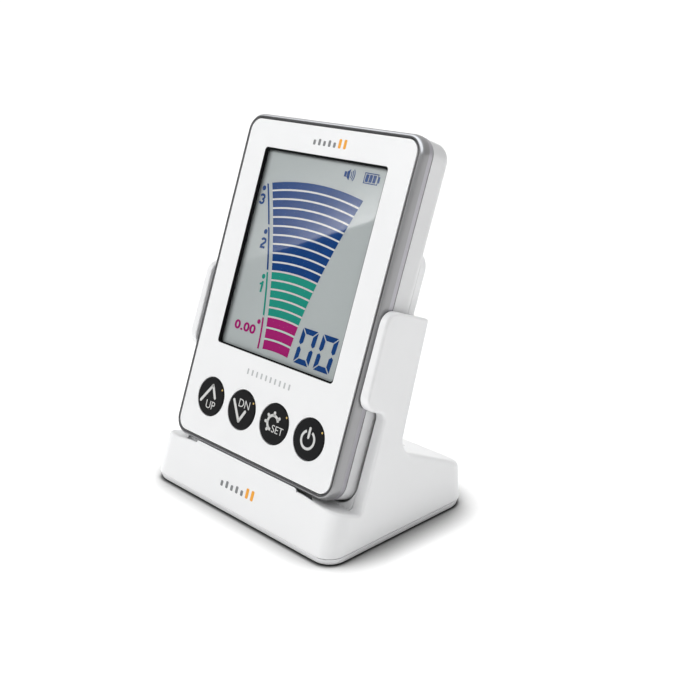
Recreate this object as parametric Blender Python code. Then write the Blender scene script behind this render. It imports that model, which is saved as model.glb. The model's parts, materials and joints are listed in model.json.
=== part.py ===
"""Apex locator: a flat hand-held measuring unit that stands in a one-piece desk cradle.

Run with: blender --background --python part.py

World frame: metres, +Z up, the display faces -Y, and the origin is on the desk under the middle of
the base. The unit leans back in the cradle, so its pieces and the cradle's pocket are placed in the
tilted frame of UNIT_FRAME: x across the face, y into the case (0 on the face), z up the face from
its bottom edge.
"""

import math

import bmesh
import bpy
from mathutils import Matrix, Vector

# ---- driving dimensions, metres ----
TILT = math.radians(20.0)
FACE_Y, FACE_Z = -0.0223, 0.0158  # bottom edge of the face: distance back and height
GAP = 0.0003  # between neighbouring pieces

FACE_W, FACE_H, FACE_R = 0.0640, 0.0929, 0.0042
PANEL_INSET = 0.0007  # the white plate stops this far inside the face's outline
PANEL_T = 0.0012
SKIRT_T = 0.0012
BAND_OUT, BAND_RIM, BAND_D = 0.0010, 0.0005, 0.0045  # band: bulge, edge of its front rim, depth
CASE_OUT, CASE_T, CASE_BACK = 0.0007, 0.0013, 0.0128  # rear case: stand-out, wall, back face
CASE_EDGE_R = 0.0034

WINDOW_W, WINDOW_H, WINDOW_Z, WINDOW_R = 0.0467, 0.0565, 0.0281, 0.0008
LENS_FRONT, LENS_T, LENS_SIDE = 0.00025, 0.0008, 0.0002
GASKET_FRONT, GASKET_T, GASKET_LIP = 0.0015, 0.0008, 0.0002
LCD_W, LCD_H, LCD_Z, LCD_R = 0.0484, 0.0602, 0.0258, 0.0004
LCD_FRONT, LCD_T = 0.0026, 0.0014
BACKLIGHT_FRONT, BACKLIGHT_T = 0.0043, 0.0009
STRIP_H, STRIP_W, STRIP_T, STRIP_LOW = 0.0020, 0.0424, 0.0011, 0.0005  # connector under the glass
STRIP_ROOM = 0.0030
BOARD_W, BOARD_H, BOARD_Z, BOARD_R = 0.0500, 0.0852, 0.0040, 0.0050
BOARD_FRONT, BOARD_T = 0.0057, 0.0010
BOARD_BACK = BOARD_FRONT + BOARD_T
CHIP_LOW, CHIP_HIGH, CHIP_T = (0.0030, 0.0290), (0.0130, 0.0390), 0.0012  # (x, z) corners
BUZZER_AT, BUZZER_R, BUZZER_BACK = (-0.0120, 0.0340), 0.0060, 0.0103
SOUND_RING_R, SOUND_HOLE_R, BUZZER_MOUTH_R = 0.0030, 0.0007, 0.0010

BUTTON_X = (-0.0203, -0.00675, 0.00675, 0.0203)
BUTTON_NAMES = ("button_up", "button_down", "button_set", "button_power")
BUTTON_Z, BUTTON_R, BUTTON_PROUD = 0.0126, 0.00545, 0.0002
BUTTON_HOLE_R, BUTTON_FLANGE_R = 0.00565, 0.0062
BUTTON_FLANGE_FRONT, BUTTON_BACK = 0.0015, 0.0021
MAT_W, MAT_H, MAT_R, MAT_FRONT, MAT_T = 0.0530, 0.0110, 0.0020, 0.0028, 0.0009
SWITCH_SIDE, SWITCH_FRONT, SWITCH_BACK = 0.0060, 0.0041, 0.0054

SCREW_X, SCREW_Z = 0.0265, (0.0055, 0.0874)
BOSS_R, BOSS_BACK = 0.0019, 0.0095
CASE_SCREW_R, CASE_SCREW_HEAD_R, CASE_SCREW_HEAD_T = 0.0008, 0.0016, 0.0007

DOOR_W, DOOR_Z, DOOR_T = 0.0440, 0.0510, 0.0012
TRAY_W, TRAY_Z, TRAY_FRONT = 0.0476, 0.0495, 0.0072
BAY_W, BAY_Z, BAY_H, BAY_FRONT = 0.0386, 0.0552, 0.0350, 0.0080
TRAY_STEP = 0.0002  # the tray's end is this much smaller than the tray
PACK_SIDE, PACK_EDGE_R = 0.0005, 0.0006
CONTACT_HALF_W, CONTACT_BACK, CONTACT_ROOM = 0.0047, 0.0100, 0.0004
SOCKET_Z, SOCKET_Y, SOCKET_COLLAR_R, SOCKET_HOLE_R = 0.0700, 0.0084, 0.0026, 0.0018
SOCKET_HALF_H, SOCKET_L, SOCKET_ROOM, SOCKET_BORE_L = 0.0034, 0.0060, 0.0010, 0.0045

BASE_HALF_W, SIDE_DRAFT = 0.0375, 0.026  # half width at the desk, and what it loses per metre up
BASE_BACK_Y, BASE_TOP_BACK_Y = 0.02725, 0.0264
SEAM_Z = 0.0023
FRONT_CORNER_R, REAR_CORNER_R = 0.0050, 0.0060
ARM_Z, ARM_R, ARM_NOTCH_R = (0.0246, 0.0502), 0.0038, 0.0020
LEDGE_Z, LEDGE_SIDE_Z, LEDGE_R = -0.00135, -0.0020, 0.0015
SIDE_FRONT_Y = 0.0080  # front edge of the side walls, behind the face
POCKET_HALF_W, POCKET_BACK_Y, POCKET_R, POCKET_STEP = 0.03344, CASE_BACK + GAP, 0.0058, 0.0001
RELIEF_X, RELIEF_HALF_W = 0.0350, 0.0050  # lower ledge at both ends of the front wall
PLATE_HALF_W, PLATE_TOP_Z, PLATE_R, PLATE_ROOT = 0.0307, 0.0666, 0.0050, 0.0100
UPRIGHT_BACK = ((0.0502, 0.0158), (0.0200, 0.0169))  # (z, y) on the back face of the upright
FOOT_SLOPE, FOOT_FRONT_YZ, FOOT_FILLET_R = -0.4455, (0.0070, 0.0207), 0.0060
WALL, HOLLOW_SIDE = 0.0024, 0.0033
BASE_BOSS_R, BASE_BOSS_TOP, BASE_BOSS_SKIN = 0.0026, 0.0090, 0.0013
BASE_HOLE_R, BASE_HOLE_TOP = 0.0011, 0.0075
BASE_PLATE_LOW, BASE_PLATE_T, BASE_PLATE_INSET = 0.0005, 0.0015, 0.0003
BASE_SCREW_XY = ((-0.0300, -0.0100), (0.0300, -0.0100), (-0.0240, 0.0100), (0.0240, 0.0100))
FOOT_XY = ((-0.0295, -0.0195), (0.0295, -0.0195), (-0.0295, 0.0185), (0.0295, 0.0185))
FOOT_R, FOOT_RECESS = 0.0040, 0.0005
SCREW_SEAT_R, SCREW_SEAT_TOP, SCREW_CLEAR_R = 0.0026, 0.0012, 0.0013
BASE_SCREW_LENGTH, BASE_SCREW_R, BASE_SCREW_HEAD_R, BASE_SCREW_HEAD_T = 0.0055, 0.0009, 0.0021, 0.0004
BALLAST_SIZE, BALLAST_AT = (0.0400, 0.0150, 0.0050), (0.0, 0.0130)

ARC_STEPS = 5
ROUND_STEPS = 24

HANDSET_TO_WORLD = Matrix.Translation((0, FACE_Y, FACE_Z)) @ Matrix.Rotation(-TILT, 4, "X")
FACE_ON = Matrix.Rotation(math.pi / 2, 4, "X")  # outline (x, z), thickness along -y
SIDE_ON = Matrix(((0, 0, 1, 0), (1, 0, 0, 0), (0, 1, 0, 0), (0, 0, 0, 1)))  # outline (y, z)
FLAT = Matrix.Identity(4)


# ---- scene, materials and frames ----


def clear_scene():
    for obj in list(bpy.data.objects):
        bpy.data.objects.remove(obj, do_unlink=True)


def new_collection(name):
    collection = bpy.data.collections.new(name)
    bpy.context.scene.collection.children.link(collection)
    return collection


def make_material(name, colour, roughness, metallic=0.0, alpha=1.0):
    material = bpy.data.materials.new(name)
    material.use_nodes = True
    shader = material.node_tree.nodes["Principled BSDF"]
    shader.inputs["Base Color"].default_value = (*colour, 1.0)
    shader.inputs["Roughness"].default_value = roughness
    shader.inputs["Metallic"].default_value = metallic
    shader.inputs["Alpha"].default_value = alpha
    return material


clear_scene()
PARTS = new_collection("apex_locator")
CUTTERS = new_collection("cutters")
UNIT_FRAME = bpy.data.objects.new("unit_frame", None)
PARTS.objects.link(UNIT_FRAME)
UNIT_FRAME.location = (0, FACE_Y, FACE_Z)
UNIT_FRAME.rotation_euler = (-TILT, 0, 0)

WHITE = make_material("white_plastic", (0.86, 0.87, 0.86), 0.35)
SILVER = make_material("silver_trim", (0.45, 0.44, 0.47), 0.30, metallic=0.8)
CLEAR = make_material("clear_window", (0.95, 0.97, 0.96), 0.05, alpha=0.2)
BLACK = make_material("black_plastic", (0.02, 0.02, 0.02), 0.45)
LCD = make_material("lcd_grey", (0.38, 0.42, 0.40), 0.25)
LIGHT = make_material("light_guide", (0.80, 0.84, 0.80), 0.40)
BOARD = make_material("green_board", (0.04, 0.22, 0.09), 0.50)
CHIP = make_material("chip_black", (0.03, 0.03, 0.03), 0.55)
RUBBER = make_material("dark_rubber", (0.05, 0.05, 0.05), 0.80)
GOLD = make_material("contact_brass", (0.75, 0.58, 0.25), 0.30, metallic=1.0)
STEEL = make_material("steel", (0.55, 0.56, 0.58), 0.35, metallic=1.0)
CELL = make_material("battery_foil", (0.60, 0.61, 0.63), 0.40, metallic=0.6)


# ---- modelling helpers ----


def place(obj, material, frame=None):
    """Puts a finished piece in the parts collection with its material, in the tilted frame if given."""
    obj.data.materials.clear()
    obj.data.materials.append(material)
    obj.data.shade_smooth()
    obj.data.set_sharp_from_angle(angle=math.radians(35))
    obj.parent = frame
    return obj


def rounded(corners, steps=ARC_STEPS):
    """An outline from (a, b, radius) corners: each radius above 0 becomes an arc tangent to both sides."""
    points = []
    count = len(corners)
    for index, (a, b, radius) in enumerate(corners):
        here = Vector((a, b))
        if radius <= 0:
            points.append(here)
            continue
        before = (Vector(corners[index - 1][:2]) - here).normalized()
        after = (Vector(corners[(index + 1) % count][:2]) - here).normalized()
        half = before.angle(after) / 2
        centre = here + (before + after).normalized() * radius / math.sin(half)
        first = here + before * radius / math.tan(half) - centre
        turn = first.angle_signed(here + after * radius / math.tan(half) - centre)
        for step in range(steps + 1):
            spin = Matrix.Rotation(-turn * step / steps, 2)
            points.append(centre + spin @ first)
    return points


def rectangle(width, height, radius, low=0.0, across=0.0, steps=ARC_STEPS):
    """A rounded rectangle centred on across, its bottom side at low."""
    left, right = across - width / 2, across + width / 2
    corners = [(left, low), (right, low), (right, low + height), (left, low + height)]
    return rounded([(a, b, radius) for a, b in corners], steps)


def circle(radius, a=0.0, b=0.0, steps=ROUND_STEPS):
    angles = [2 * math.pi * step / steps for step in range(steps)]
    return [Vector((a + radius * math.cos(t), b + radius * math.sin(t))) for t in angles]


def new_object(name, mesh, collection=PARTS):
    obj = bpy.data.objects.new(name, mesh)
    collection.objects.link(obj)
    return obj


def extruded(name, outlines, low, high, plane=FACE_ON):
    """A solid from flat outlines (the first is the edge, the others are holes), from low to high."""
    curve = bpy.data.curves.new(name, "CURVE")
    curve.dimensions = "2D"
    curve.fill_mode = "BOTH"
    curve.extrude = (high - low) / 2
    for outline in outlines:
        spline = curve.splines.new("POLY")
        spline.points.add(len(outline) - 1)
        for point, (a, b) in zip(spline.points, outline):
            point.co = (a, b, 0, 1)
        spline.use_cyclic_u = True
    helper = new_object(name + "_curve", curve)
    depsgraph = bpy.context.evaluated_depsgraph_get()
    mesh = bpy.data.meshes.new_from_object(helper.evaluated_get(depsgraph))
    mesh.name = name
    bpy.data.objects.remove(helper)
    bpy.data.curves.remove(curve)
    middle = (low + high) / 2
    if plane is FACE_ON:
        middle = -middle
    mesh.transform(plane @ Matrix.Translation((0, 0, middle)))
    tidy(mesh)
    return new_object(name, mesh)


def tidy(mesh):
    """Welds loose caps and merges coplanar faces."""
    model = bmesh.new()
    model.from_mesh(mesh)
    bmesh.ops.remove_doubles(model, verts=model.verts, dist=1e-7)
    bmesh.ops.dissolve_limit(
        model, angle_limit=math.radians(0.5), verts=model.verts, edges=model.edges
    )
    bmesh.ops.recalc_face_normals(model, faces=model.faces)
    model.to_mesh(mesh)
    model.free()


def cylinder(name, radius, start, end, steps=ROUND_STEPS):
    """A closed cylinder between two points."""
    start, end = Vector(start), Vector(end)
    model = bmesh.new()
    bmesh.ops.create_cone(
        model, cap_ends=True, segments=steps, radius1=radius, radius2=radius,
        depth=(end - start).length,
    )
    turn = (end - start).to_track_quat("Z", "Y").to_matrix().to_4x4()
    mesh = bpy.data.meshes.new(name)
    model.to_mesh(mesh)
    model.free()
    mesh.transform(Matrix.Translation((start + end) / 2) @ turn)
    return new_object(name, mesh)


def box(name, low, high):
    """A box between two corners."""
    low, high = Vector(low), Vector(high)
    model = bmesh.new()
    bmesh.ops.create_cube(model, size=1.0)
    bmesh.ops.scale(model, vec=high - low, verts=model.verts)
    bmesh.ops.translate(model, vec=(low + high) / 2, verts=model.verts)
    mesh = bpy.data.meshes.new(name)
    model.to_mesh(mesh)
    model.free()
    return new_object(name, mesh)


def round_edges(obj, chosen, radius, segments=3):
    """Rounds the edges that chosen(first corner, second corner) picks."""
    model = bmesh.new()
    model.from_mesh(obj.data)
    edges = [e for e in model.edges if chosen(e.verts[0].co, e.verts[1].co)]
    bmesh.ops.bevel(
        model, geom=edges, offset=radius, segments=segments, profile=0.5, affect="EDGES",
        clamp_overlap=True,
    )
    model.to_mesh(obj.data)
    model.free()


def boolean(obj, tool, operation, tilted):
    """Cuts or joins with a tool, which is kept as a hidden wire helper."""
    for collection in list(tool.users_collection):
        collection.objects.unlink(tool)
    CUTTERS.objects.link(tool)
    tool.name = f"{obj.name}_{operation.lower()}_{len(obj.modifiers) + 1}"
    tool.hide_render = True
    tool.display_type = "WIRE"
    if tilted:
        tool.parent = UNIT_FRAME
    modifier = obj.modifiers.new(tool.name, "BOOLEAN")
    modifier.operation = operation
    modifier.solver = "EXACT"
    modifier.object = tool


def cut(obj, *tools, tilted=True):
    for tool in tools:
        boolean(obj, tool, "DIFFERENCE", tilted)


def join(obj, *tools, tilted=True):
    for tool in tools:
        boolean(obj, tool, "UNION", tilted)


def in_world(z, y):
    """(y, z) in the world of a point z up the face and y behind it."""
    point = HANDSET_TO_WORLD @ Vector((0, y, z))
    return point.y, point.z


def mirrored_x(value):
    return (-value, value)


# ---- hand-held unit ----


def face_outline(grow):
    """The face's rounded rectangle, grown on every side."""
    return rectangle(FACE_W + 2 * grow, FACE_H + 2 * grow, FACE_R + grow, low=-grow)


def screw_spots():
    return [(x, z) for x in mirrored_x(SCREW_X) for z in SCREW_Z]


def make_front_panel():
    window = rectangle(WINDOW_W, WINDOW_H, WINDOW_R, low=WINDOW_Z, steps=2)
    holes = [circle(BUTTON_HOLE_R, x, BUTTON_Z) for x in BUTTON_X]
    edge = face_outline(-PANEL_INSET)
    panel = extruded("front_panel", [edge, window, *holes], 0, PANEL_T)
    ring = [face_outline(-PANEL_INSET - GAP / 3), face_outline(-PANEL_INSET - SKIRT_T)]
    skirt = extruded("skirt", ring, PANEL_T / 2, BAND_D - GAP)
    join(panel, skirt)
    for x, z in screw_spots():
        join(panel, cylinder("boss", BOSS_R, (x, PANEL_T / 2, z), (x, BOSS_BACK, z), 16))
    for x, z in screw_spots():
        hole = cylinder("hole", CASE_SCREW_R + 0.0001, (x, 2 * PANEL_T, z), (x, 0.02, z), 12)
        cut(panel, hole)
    return place(panel, WHITE, UNIT_FRAME)


def make_trim_band():
    """The silver ring: a flat front rim, then a bulging side."""
    bulge = extruded("trim_band", [face_outline(BAND_OUT)], 0, BAND_D)
    round_edges(bulge, lambda p, q: max(abs(p.y), abs(q.y)) < 1e-6, BAND_OUT - BAND_RIM, 2)
    cut(bulge, extruded("opening", [face_outline(-PANEL_INSET + GAP)], -0.001, BAND_D + 0.001))
    return place(bulge, SILVER, UNIT_FRAME)


def make_case_solid(name, grow, front, back, edge_radius, segments=3):
    """A rounded box with its back rim rounded."""
    solid = extruded(name, [face_outline(grow)], front, back)
    round_edges(
        solid, lambda p, q: abs(p.y - back) < 1e-6 and abs(q.y - back) < 1e-6, edge_radius, segments
    )
    return solid


def door_skin(inner_grow):
    """(y, z) of the door's inner faces: the case's back and top, one skin further in."""
    skin = DOOR_T + inner_grow
    return CASE_BACK - skin, FACE_H + CASE_OUT - skin


def make_battery_door():
    inner_y, inner_z = door_skin(0)
    top = FACE_H + CASE_OUT
    start_y = CASE_BACK - CASE_EDGE_R
    corners = [
        (CASE_BACK, DOOR_Z, 0),
        (CASE_BACK, top, CASE_EDGE_R - 0.0001),
        (start_y, top, 0),
        (start_y, inner_z, 0),
        (inner_y, inner_z, CASE_EDGE_R - DOOR_T),
        (inner_y, DOOR_Z, 0),
    ]
    door = extruded("battery_door", [rounded(corners, 3)], -DOOR_W / 2, DOOR_W / 2, SIDE_ON)
    return place(door, WHITE, UNIT_FRAME)


def door_recess():
    """What the door's seat takes out of the case."""
    inner_y, inner_z = door_skin(GAP)
    out_y, out_z = CASE_BACK + 0.002, FACE_H + 0.004
    front = CASE_BACK - CASE_EDGE_R - GAP
    corners = [
        (out_y, DOOR_Z - GAP, 0),
        (out_y, out_z, 0),
        (front, out_z, 0),
        (front, inner_z, 0),
        (inner_y, inner_z, CASE_EDGE_R - DOOR_T - GAP),
        (inner_y, DOOR_Z - GAP, 0),
    ]
    half = DOOR_W / 2 + GAP
    return extruded("door_recess", [rounded(corners, 3)], -half, half, SIDE_ON)


def make_rear_case():
    front = BAND_D + GAP
    case = make_case_solid("rear_case", CASE_OUT, front, CASE_BACK, CASE_EDGE_R)
    hollow = make_case_solid(
        "hollow", CASE_OUT - CASE_T, 0, CASE_BACK - CASE_T, CASE_EDGE_R - CASE_T, 2
    )
    cut(case, hollow)
    tray_top = FACE_H + CASE_OUT - CASE_T / 2
    tray = box(
        "tray",
        (-TRAY_W / 2, TRAY_FRONT, TRAY_Z),
        (TRAY_W / 2, CASE_BACK - CASE_T / 2, tray_top - CASE_EDGE_R / 2),
    )
    lid = box(
        "tray_end",
        (-TRAY_W / 2 + TRAY_STEP, TRAY_FRONT + TRAY_STEP, tray_top - CASE_EDGE_R),
        (TRAY_W / 2 - TRAY_STEP, CASE_BACK - CASE_EDGE_R + 0.0005, tray_top),
    )
    join(case, tray, lid)
    cut(case, door_recess())
    bay = box("bay", (-BAY_W / 2, BAY_FRONT, BAY_Z), (BAY_W / 2, 0.02, BAY_Z + BAY_H))
    slot_x = CONTACT_HALF_W + GAP
    contact_slot = box(
        "slot",
        (-slot_x, BAY_FRONT - 0.002, TRAY_Z - 0.001),
        (slot_x, CONTACT_BACK + CONTACT_ROOM, BAY_Z + 0.001),
    )
    cut(case, bay, contact_slot)
    for x, z in screw_spots():
        cut(case, cylinder("hole", CASE_SCREW_R + 0.0002, (x, 0.009, z), (x, 0.02, z), 12))
        seat = CASE_BACK - CASE_SCREW_HEAD_T - 0.0001
        cut(case, cylinder("seat", CASE_SCREW_HEAD_R + 0.0002, (x, seat, z), (x, 0.02, z), 16))
    for x, z in buzzer_holes():
        cut(case, cylinder("sound_hole", SOUND_HOLE_R, (x, 0.009, z), (x, 0.02, z), 10))
    inside, outside = ((-x, SOCKET_Y, SOCKET_Z) for x in (0.028, 0.050))
    cut(case, cylinder("socket_hole", SOCKET_COLLAR_R + GAP, inside, outside, 20))
    return place(case, WHITE, UNIT_FRAME)


def buzzer_holes():
    x, z = BUZZER_AT
    ring = circle(SOUND_RING_R, x, z, 6)
    return [BUZZER_AT, *ring]


def make_plate(name, width, height, low, front, thickness, material, radius=LCD_R, steps=2):
    """A flat plate centred across the unit, its bottom side at low and its front at front."""
    outline = rectangle(width, height, radius, low=low, steps=steps)
    return place(extruded(name, [outline], front, front + thickness), material, UNIT_FRAME)


def make_display():
    width, height, low = WINDOW_W - 2 * LENS_SIDE, WINDOW_H - 2 * LENS_SIDE, WINDOW_Z + LENS_SIDE
    make_plate("window_lens", width, height, low, LENS_FRONT, LENS_T, CLEAR)
    width, height, low = WINDOW_W - 2 * GASKET_LIP, WINDOW_H - 2 * GASKET_LIP, WINDOW_Z + GASKET_LIP
    opening = rectangle(width, height, WINDOW_R, low=low, steps=2)
    edge = rectangle(LCD_W, LCD_H, LCD_R, low=LCD_Z, steps=2)
    gasket = extruded("lcd_gasket", [edge, opening], GASKET_FRONT, GASKET_FRONT + GASKET_T)
    place(gasket, BLACK, UNIT_FRAME)
    make_plate("lcd_glass", LCD_W, LCD_H, LCD_Z, LCD_FRONT, LCD_T, LCD)
    width, height, low = LCD_W - 0.002, LCD_H - STRIP_ROOM, LCD_Z + STRIP_ROOM
    make_plate("lcd_backlight", width, height, low, BACKLIGHT_FRONT, BACKLIGHT_T, LIGHT)
    make_plate("zebra_strip", STRIP_W, STRIP_H, LCD_Z + STRIP_LOW, BACKLIGHT_FRONT, STRIP_T, RUBBER)


def make_board():
    make_plate("main_board", BOARD_W, BOARD_H, BOARD_Z, BOARD_FRONT, BOARD_T, BOARD, BOARD_R, 4)
    on_board = BOARD_BACK + GAP
    chip_low = (CHIP_LOW[0], on_board, CHIP_LOW[1])
    chip = box("controller_chip", chip_low, (CHIP_HIGH[0], on_board + CHIP_T, CHIP_HIGH[1]))
    place(chip, CHIP, UNIT_FRAME)
    x, z = BUZZER_AT
    buzzer = cylinder("buzzer", BUZZER_R, (x, on_board, z), (x, BUZZER_BACK, z))
    mouth = cylinder("mouth", BUZZER_MOUTH_R, (x, BUZZER_BACK - 0.0011, z), (x, BUZZER_BACK + 0.002, z), 12)
    cut(buzzer, mouth)
    place(buzzer, CHIP, UNIT_FRAME)
    contacts = box(
        "battery_contacts",
        (-CONTACT_HALF_W, on_board, TRAY_Z + CONTACT_ROOM),
        (CONTACT_HALF_W, CONTACT_BACK, BAY_Z - GAP),
    )
    place(contacts, GOLD, UNIT_FRAME)
    pack = box(
        "battery_pack",
        (-BAY_W / 2 + PACK_SIDE, BAY_FRONT + GAP, BAY_Z + PACK_SIDE),
        (BAY_W / 2 - PACK_SIDE, CASE_BACK - DOOR_T - 2 * GAP, BAY_Z + BAY_H - PACK_SIDE),
    )
    round_edges(pack, lambda p, q: abs(p.y - q.y) < 1e-6, PACK_EDGE_R, 2)
    place(pack, CELL, UNIT_FRAME)


def make_probe_socket():
    inner_x = FACE_W / 2 + CASE_OUT - CASE_T - SOCKET_ROOM
    socket = box(
        "probe_socket",
        (-inner_x, BOARD_BACK + GAP, SOCKET_Z - SOCKET_HALF_H),
        (-inner_x + SOCKET_L, CASE_BACK - CASE_T - SOCKET_ROOM, SOCKET_Z + SOCKET_HALF_H),
    )
    outer_x = FACE_W / 2 + CASE_OUT + 0.0002
    along = ((-outer_x, SOCKET_Y, SOCKET_Z), (-inner_x + 0.001, SOCKET_Y, SOCKET_Z))
    join(socket, cylinder("collar", SOCKET_COLLAR_R, *along))
    bore = ((-outer_x - 0.001, SOCKET_Y, SOCKET_Z), (-inner_x + SOCKET_BORE_L, SOCKET_Y, SOCKET_Z))
    cut(socket, cylinder("bore", SOCKET_HOLE_R, *bore, 16))
    place(socket, BLACK, UNIT_FRAME)


def make_keys():
    for number, (name, x) in enumerate(zip(BUTTON_NAMES, BUTTON_X), start=1):
        profile = [
            (0, -BUTTON_PROUD),
            (BUTTON_R - 0.0003, -BUTTON_PROUD),
            (BUTTON_R, 0.0001),
            (BUTTON_R, BUTTON_FLANGE_FRONT),
            (BUTTON_FLANGE_R, BUTTON_FLANGE_FRONT),
            (BUTTON_FLANGE_R, BUTTON_BACK),
            (0, BUTTON_BACK),
        ]
        key = turned(name, profile, 24)
        key.location = (x, 0, BUTTON_Z)
        place(key, BLACK, UNIT_FRAME)
        half = SWITCH_SIDE / 2
        switch = box(
            f"key_switch_{number}",
            (x - half, SWITCH_FRONT, BUTTON_Z - half),
            (x + half, SWITCH_BACK, BUTTON_Z + half),
        )
        round_edges(switch, lambda p, q: abs(p.y - q.y) > 1e-6, 0.0006, 1)
        place(switch, CHIP, UNIT_FRAME)
    low = BUTTON_Z - MAT_H / 2
    make_plate("key_mat", MAT_W, MAT_H, low, MAT_FRONT, MAT_T, RUBBER, MAT_R, 4)


def turned(name, profile, steps):
    """A round piece about the y axis from (radius, y) points that start and end on the axis."""
    model = bmesh.new()
    points = [model.verts.new((radius, y, 0)) for radius, y in profile]
    edges = [model.edges.new(pair) for pair in zip(points, points[1:])]
    bmesh.ops.spin(
        model, geom=points + edges, cent=(0, 0, 0), axis=(0, 1, 0), dvec=(0, 0, 0),
        angle=2 * math.pi, steps=steps, use_merge=True,
    )
    bmesh.ops.remove_doubles(model, verts=model.verts, dist=1e-7)
    bmesh.ops.recalc_face_normals(model, faces=model.faces)
    mesh = bpy.data.meshes.new(name)
    model.to_mesh(mesh)
    model.free()
    return new_object(name, mesh)


def screw_profile(length, shaft, head, head_t):
    """(radius, distance from the tip) points of a pan-head screw."""
    return [
        (0, 0),
        (shaft * 0.6, 0),
        (shaft, 0.0006),
        (shaft, length),
        (head, length),
        (head, length + head_t * 0.6),
        (head * 0.75, length + head_t),
        (0, length + head_t),
    ]


def make_case_screws():
    tip = 2 * PANEL_T + 0.0006
    length = CASE_BACK - CASE_SCREW_HEAD_T - tip
    profile = screw_profile(length, CASE_SCREW_R, CASE_SCREW_HEAD_R, CASE_SCREW_HEAD_T)
    for number, (x, z) in enumerate(screw_spots(), start=1):
        screw = turned(f"case_screw_{number}", profile, 12)
        screw.location = (x, tip, z)
        place(screw, STEEL, UNIT_FRAME)


# ---- cradle ----


def meet(point, direction, other, other_direction):
    """Where two straight lines in the side view cross."""
    delta = Vector(other) - Vector(point)
    cross = direction[0] * other_direction[1] - direction[1] * other_direction[0]
    along = (delta.x * other_direction[1] - delta.y * other_direction[0]) / cross
    return point[0] + along * direction[0], point[1] + along * direction[1]


def down_face_to(height):
    """(y, z) where the plane of the face reaches a height."""
    return FACE_Y + (height - FACE_Z) * math.tan(TILT), height


def back_corner():
    """Where the upright's back face meets the foot's sloping top, before the fillet."""
    upper = in_world(*UPRIGHT_BACK[0])
    lower = in_world(*UPRIGHT_BACK[1])
    direction = (lower[0] - upper[0], lower[1] - upper[1])
    return meet(upper, direction, FOOT_FRONT_YZ, (1, FOOT_SLOPE))


def foot_top(y):
    return FOOT_FRONT_YZ[1] + FOOT_SLOPE * (y - FOOT_FRONT_YZ[0])


def side_outline():
    """The cradle's outline (y, z) seen from its side, arms included."""
    corners = [
        (*down_face_to(SEAM_Z), 0),
        (*in_world(LEDGE_Z, 0), 0),
        (*in_world(LEDGE_Z, SIDE_FRONT_Y), LEDGE_R),
        (*in_world(ARM_Z[0], SIDE_FRONT_Y), ARM_NOTCH_R),
        (*in_world(ARM_Z[0], 0), ARM_R),
        (*in_world(ARM_Z[1], 0), ARM_R),
        (*in_world(ARM_Z[1], UPRIGHT_BACK[0][1]), 0),
        (*back_corner(), FOOT_FILLET_R),
        (BASE_TOP_BACK_Y, foot_top(BASE_TOP_BACK_Y), 0),
        (BASE_BACK_Y, SEAM_Z, 0),
    ]
    return rounded(corners, 4)


def hollow_outline():
    """The hollow under the cradle: the same outline, one wall further in."""
    ceiling = LEDGE_SIDE_Z - WALL
    ceiling_back = in_world(ceiling, POCKET_BACK_Y + WALL)
    lean = (math.sin(TILT), math.cos(TILT))
    rear_top = BASE_TOP_BACK_Y - WALL
    drop = WALL * math.hypot(1, FOOT_SLOPE)
    corners = [
        (down_face_to(0)[0] + WALL / math.cos(TILT), 0),
        in_world(ceiling, WALL),
        ceiling_back,
        meet(ceiling_back, lean, (0, foot_top(0) - drop), (1, FOOT_SLOPE)),
        (rear_top, foot_top(rear_top) - drop),
        (BASE_BACK_Y - WALL, 0),
    ]
    return [Vector(corner) for corner in corners]


def draft_sides(obj):
    """Narrows a piece towards its top, as moulded sides are."""
    for vertex in obj.data.vertices:
        vertex.co.x *= (BASE_HALF_W - SIDE_DRAFT * vertex.co.z) / BASE_HALF_W


def on_front_plane(point):
    return abs(point.y - down_face_to(point.z)[0]) < 1e-5


def on_rear_wall(point):
    lean = (BASE_TOP_BACK_Y - BASE_BACK_Y) / (foot_top(BASE_TOP_BACK_Y) - SEAM_Z)
    return abs(point.y - BASE_BACK_Y - lean * (point.z - SEAM_Z)) < 1e-4


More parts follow.
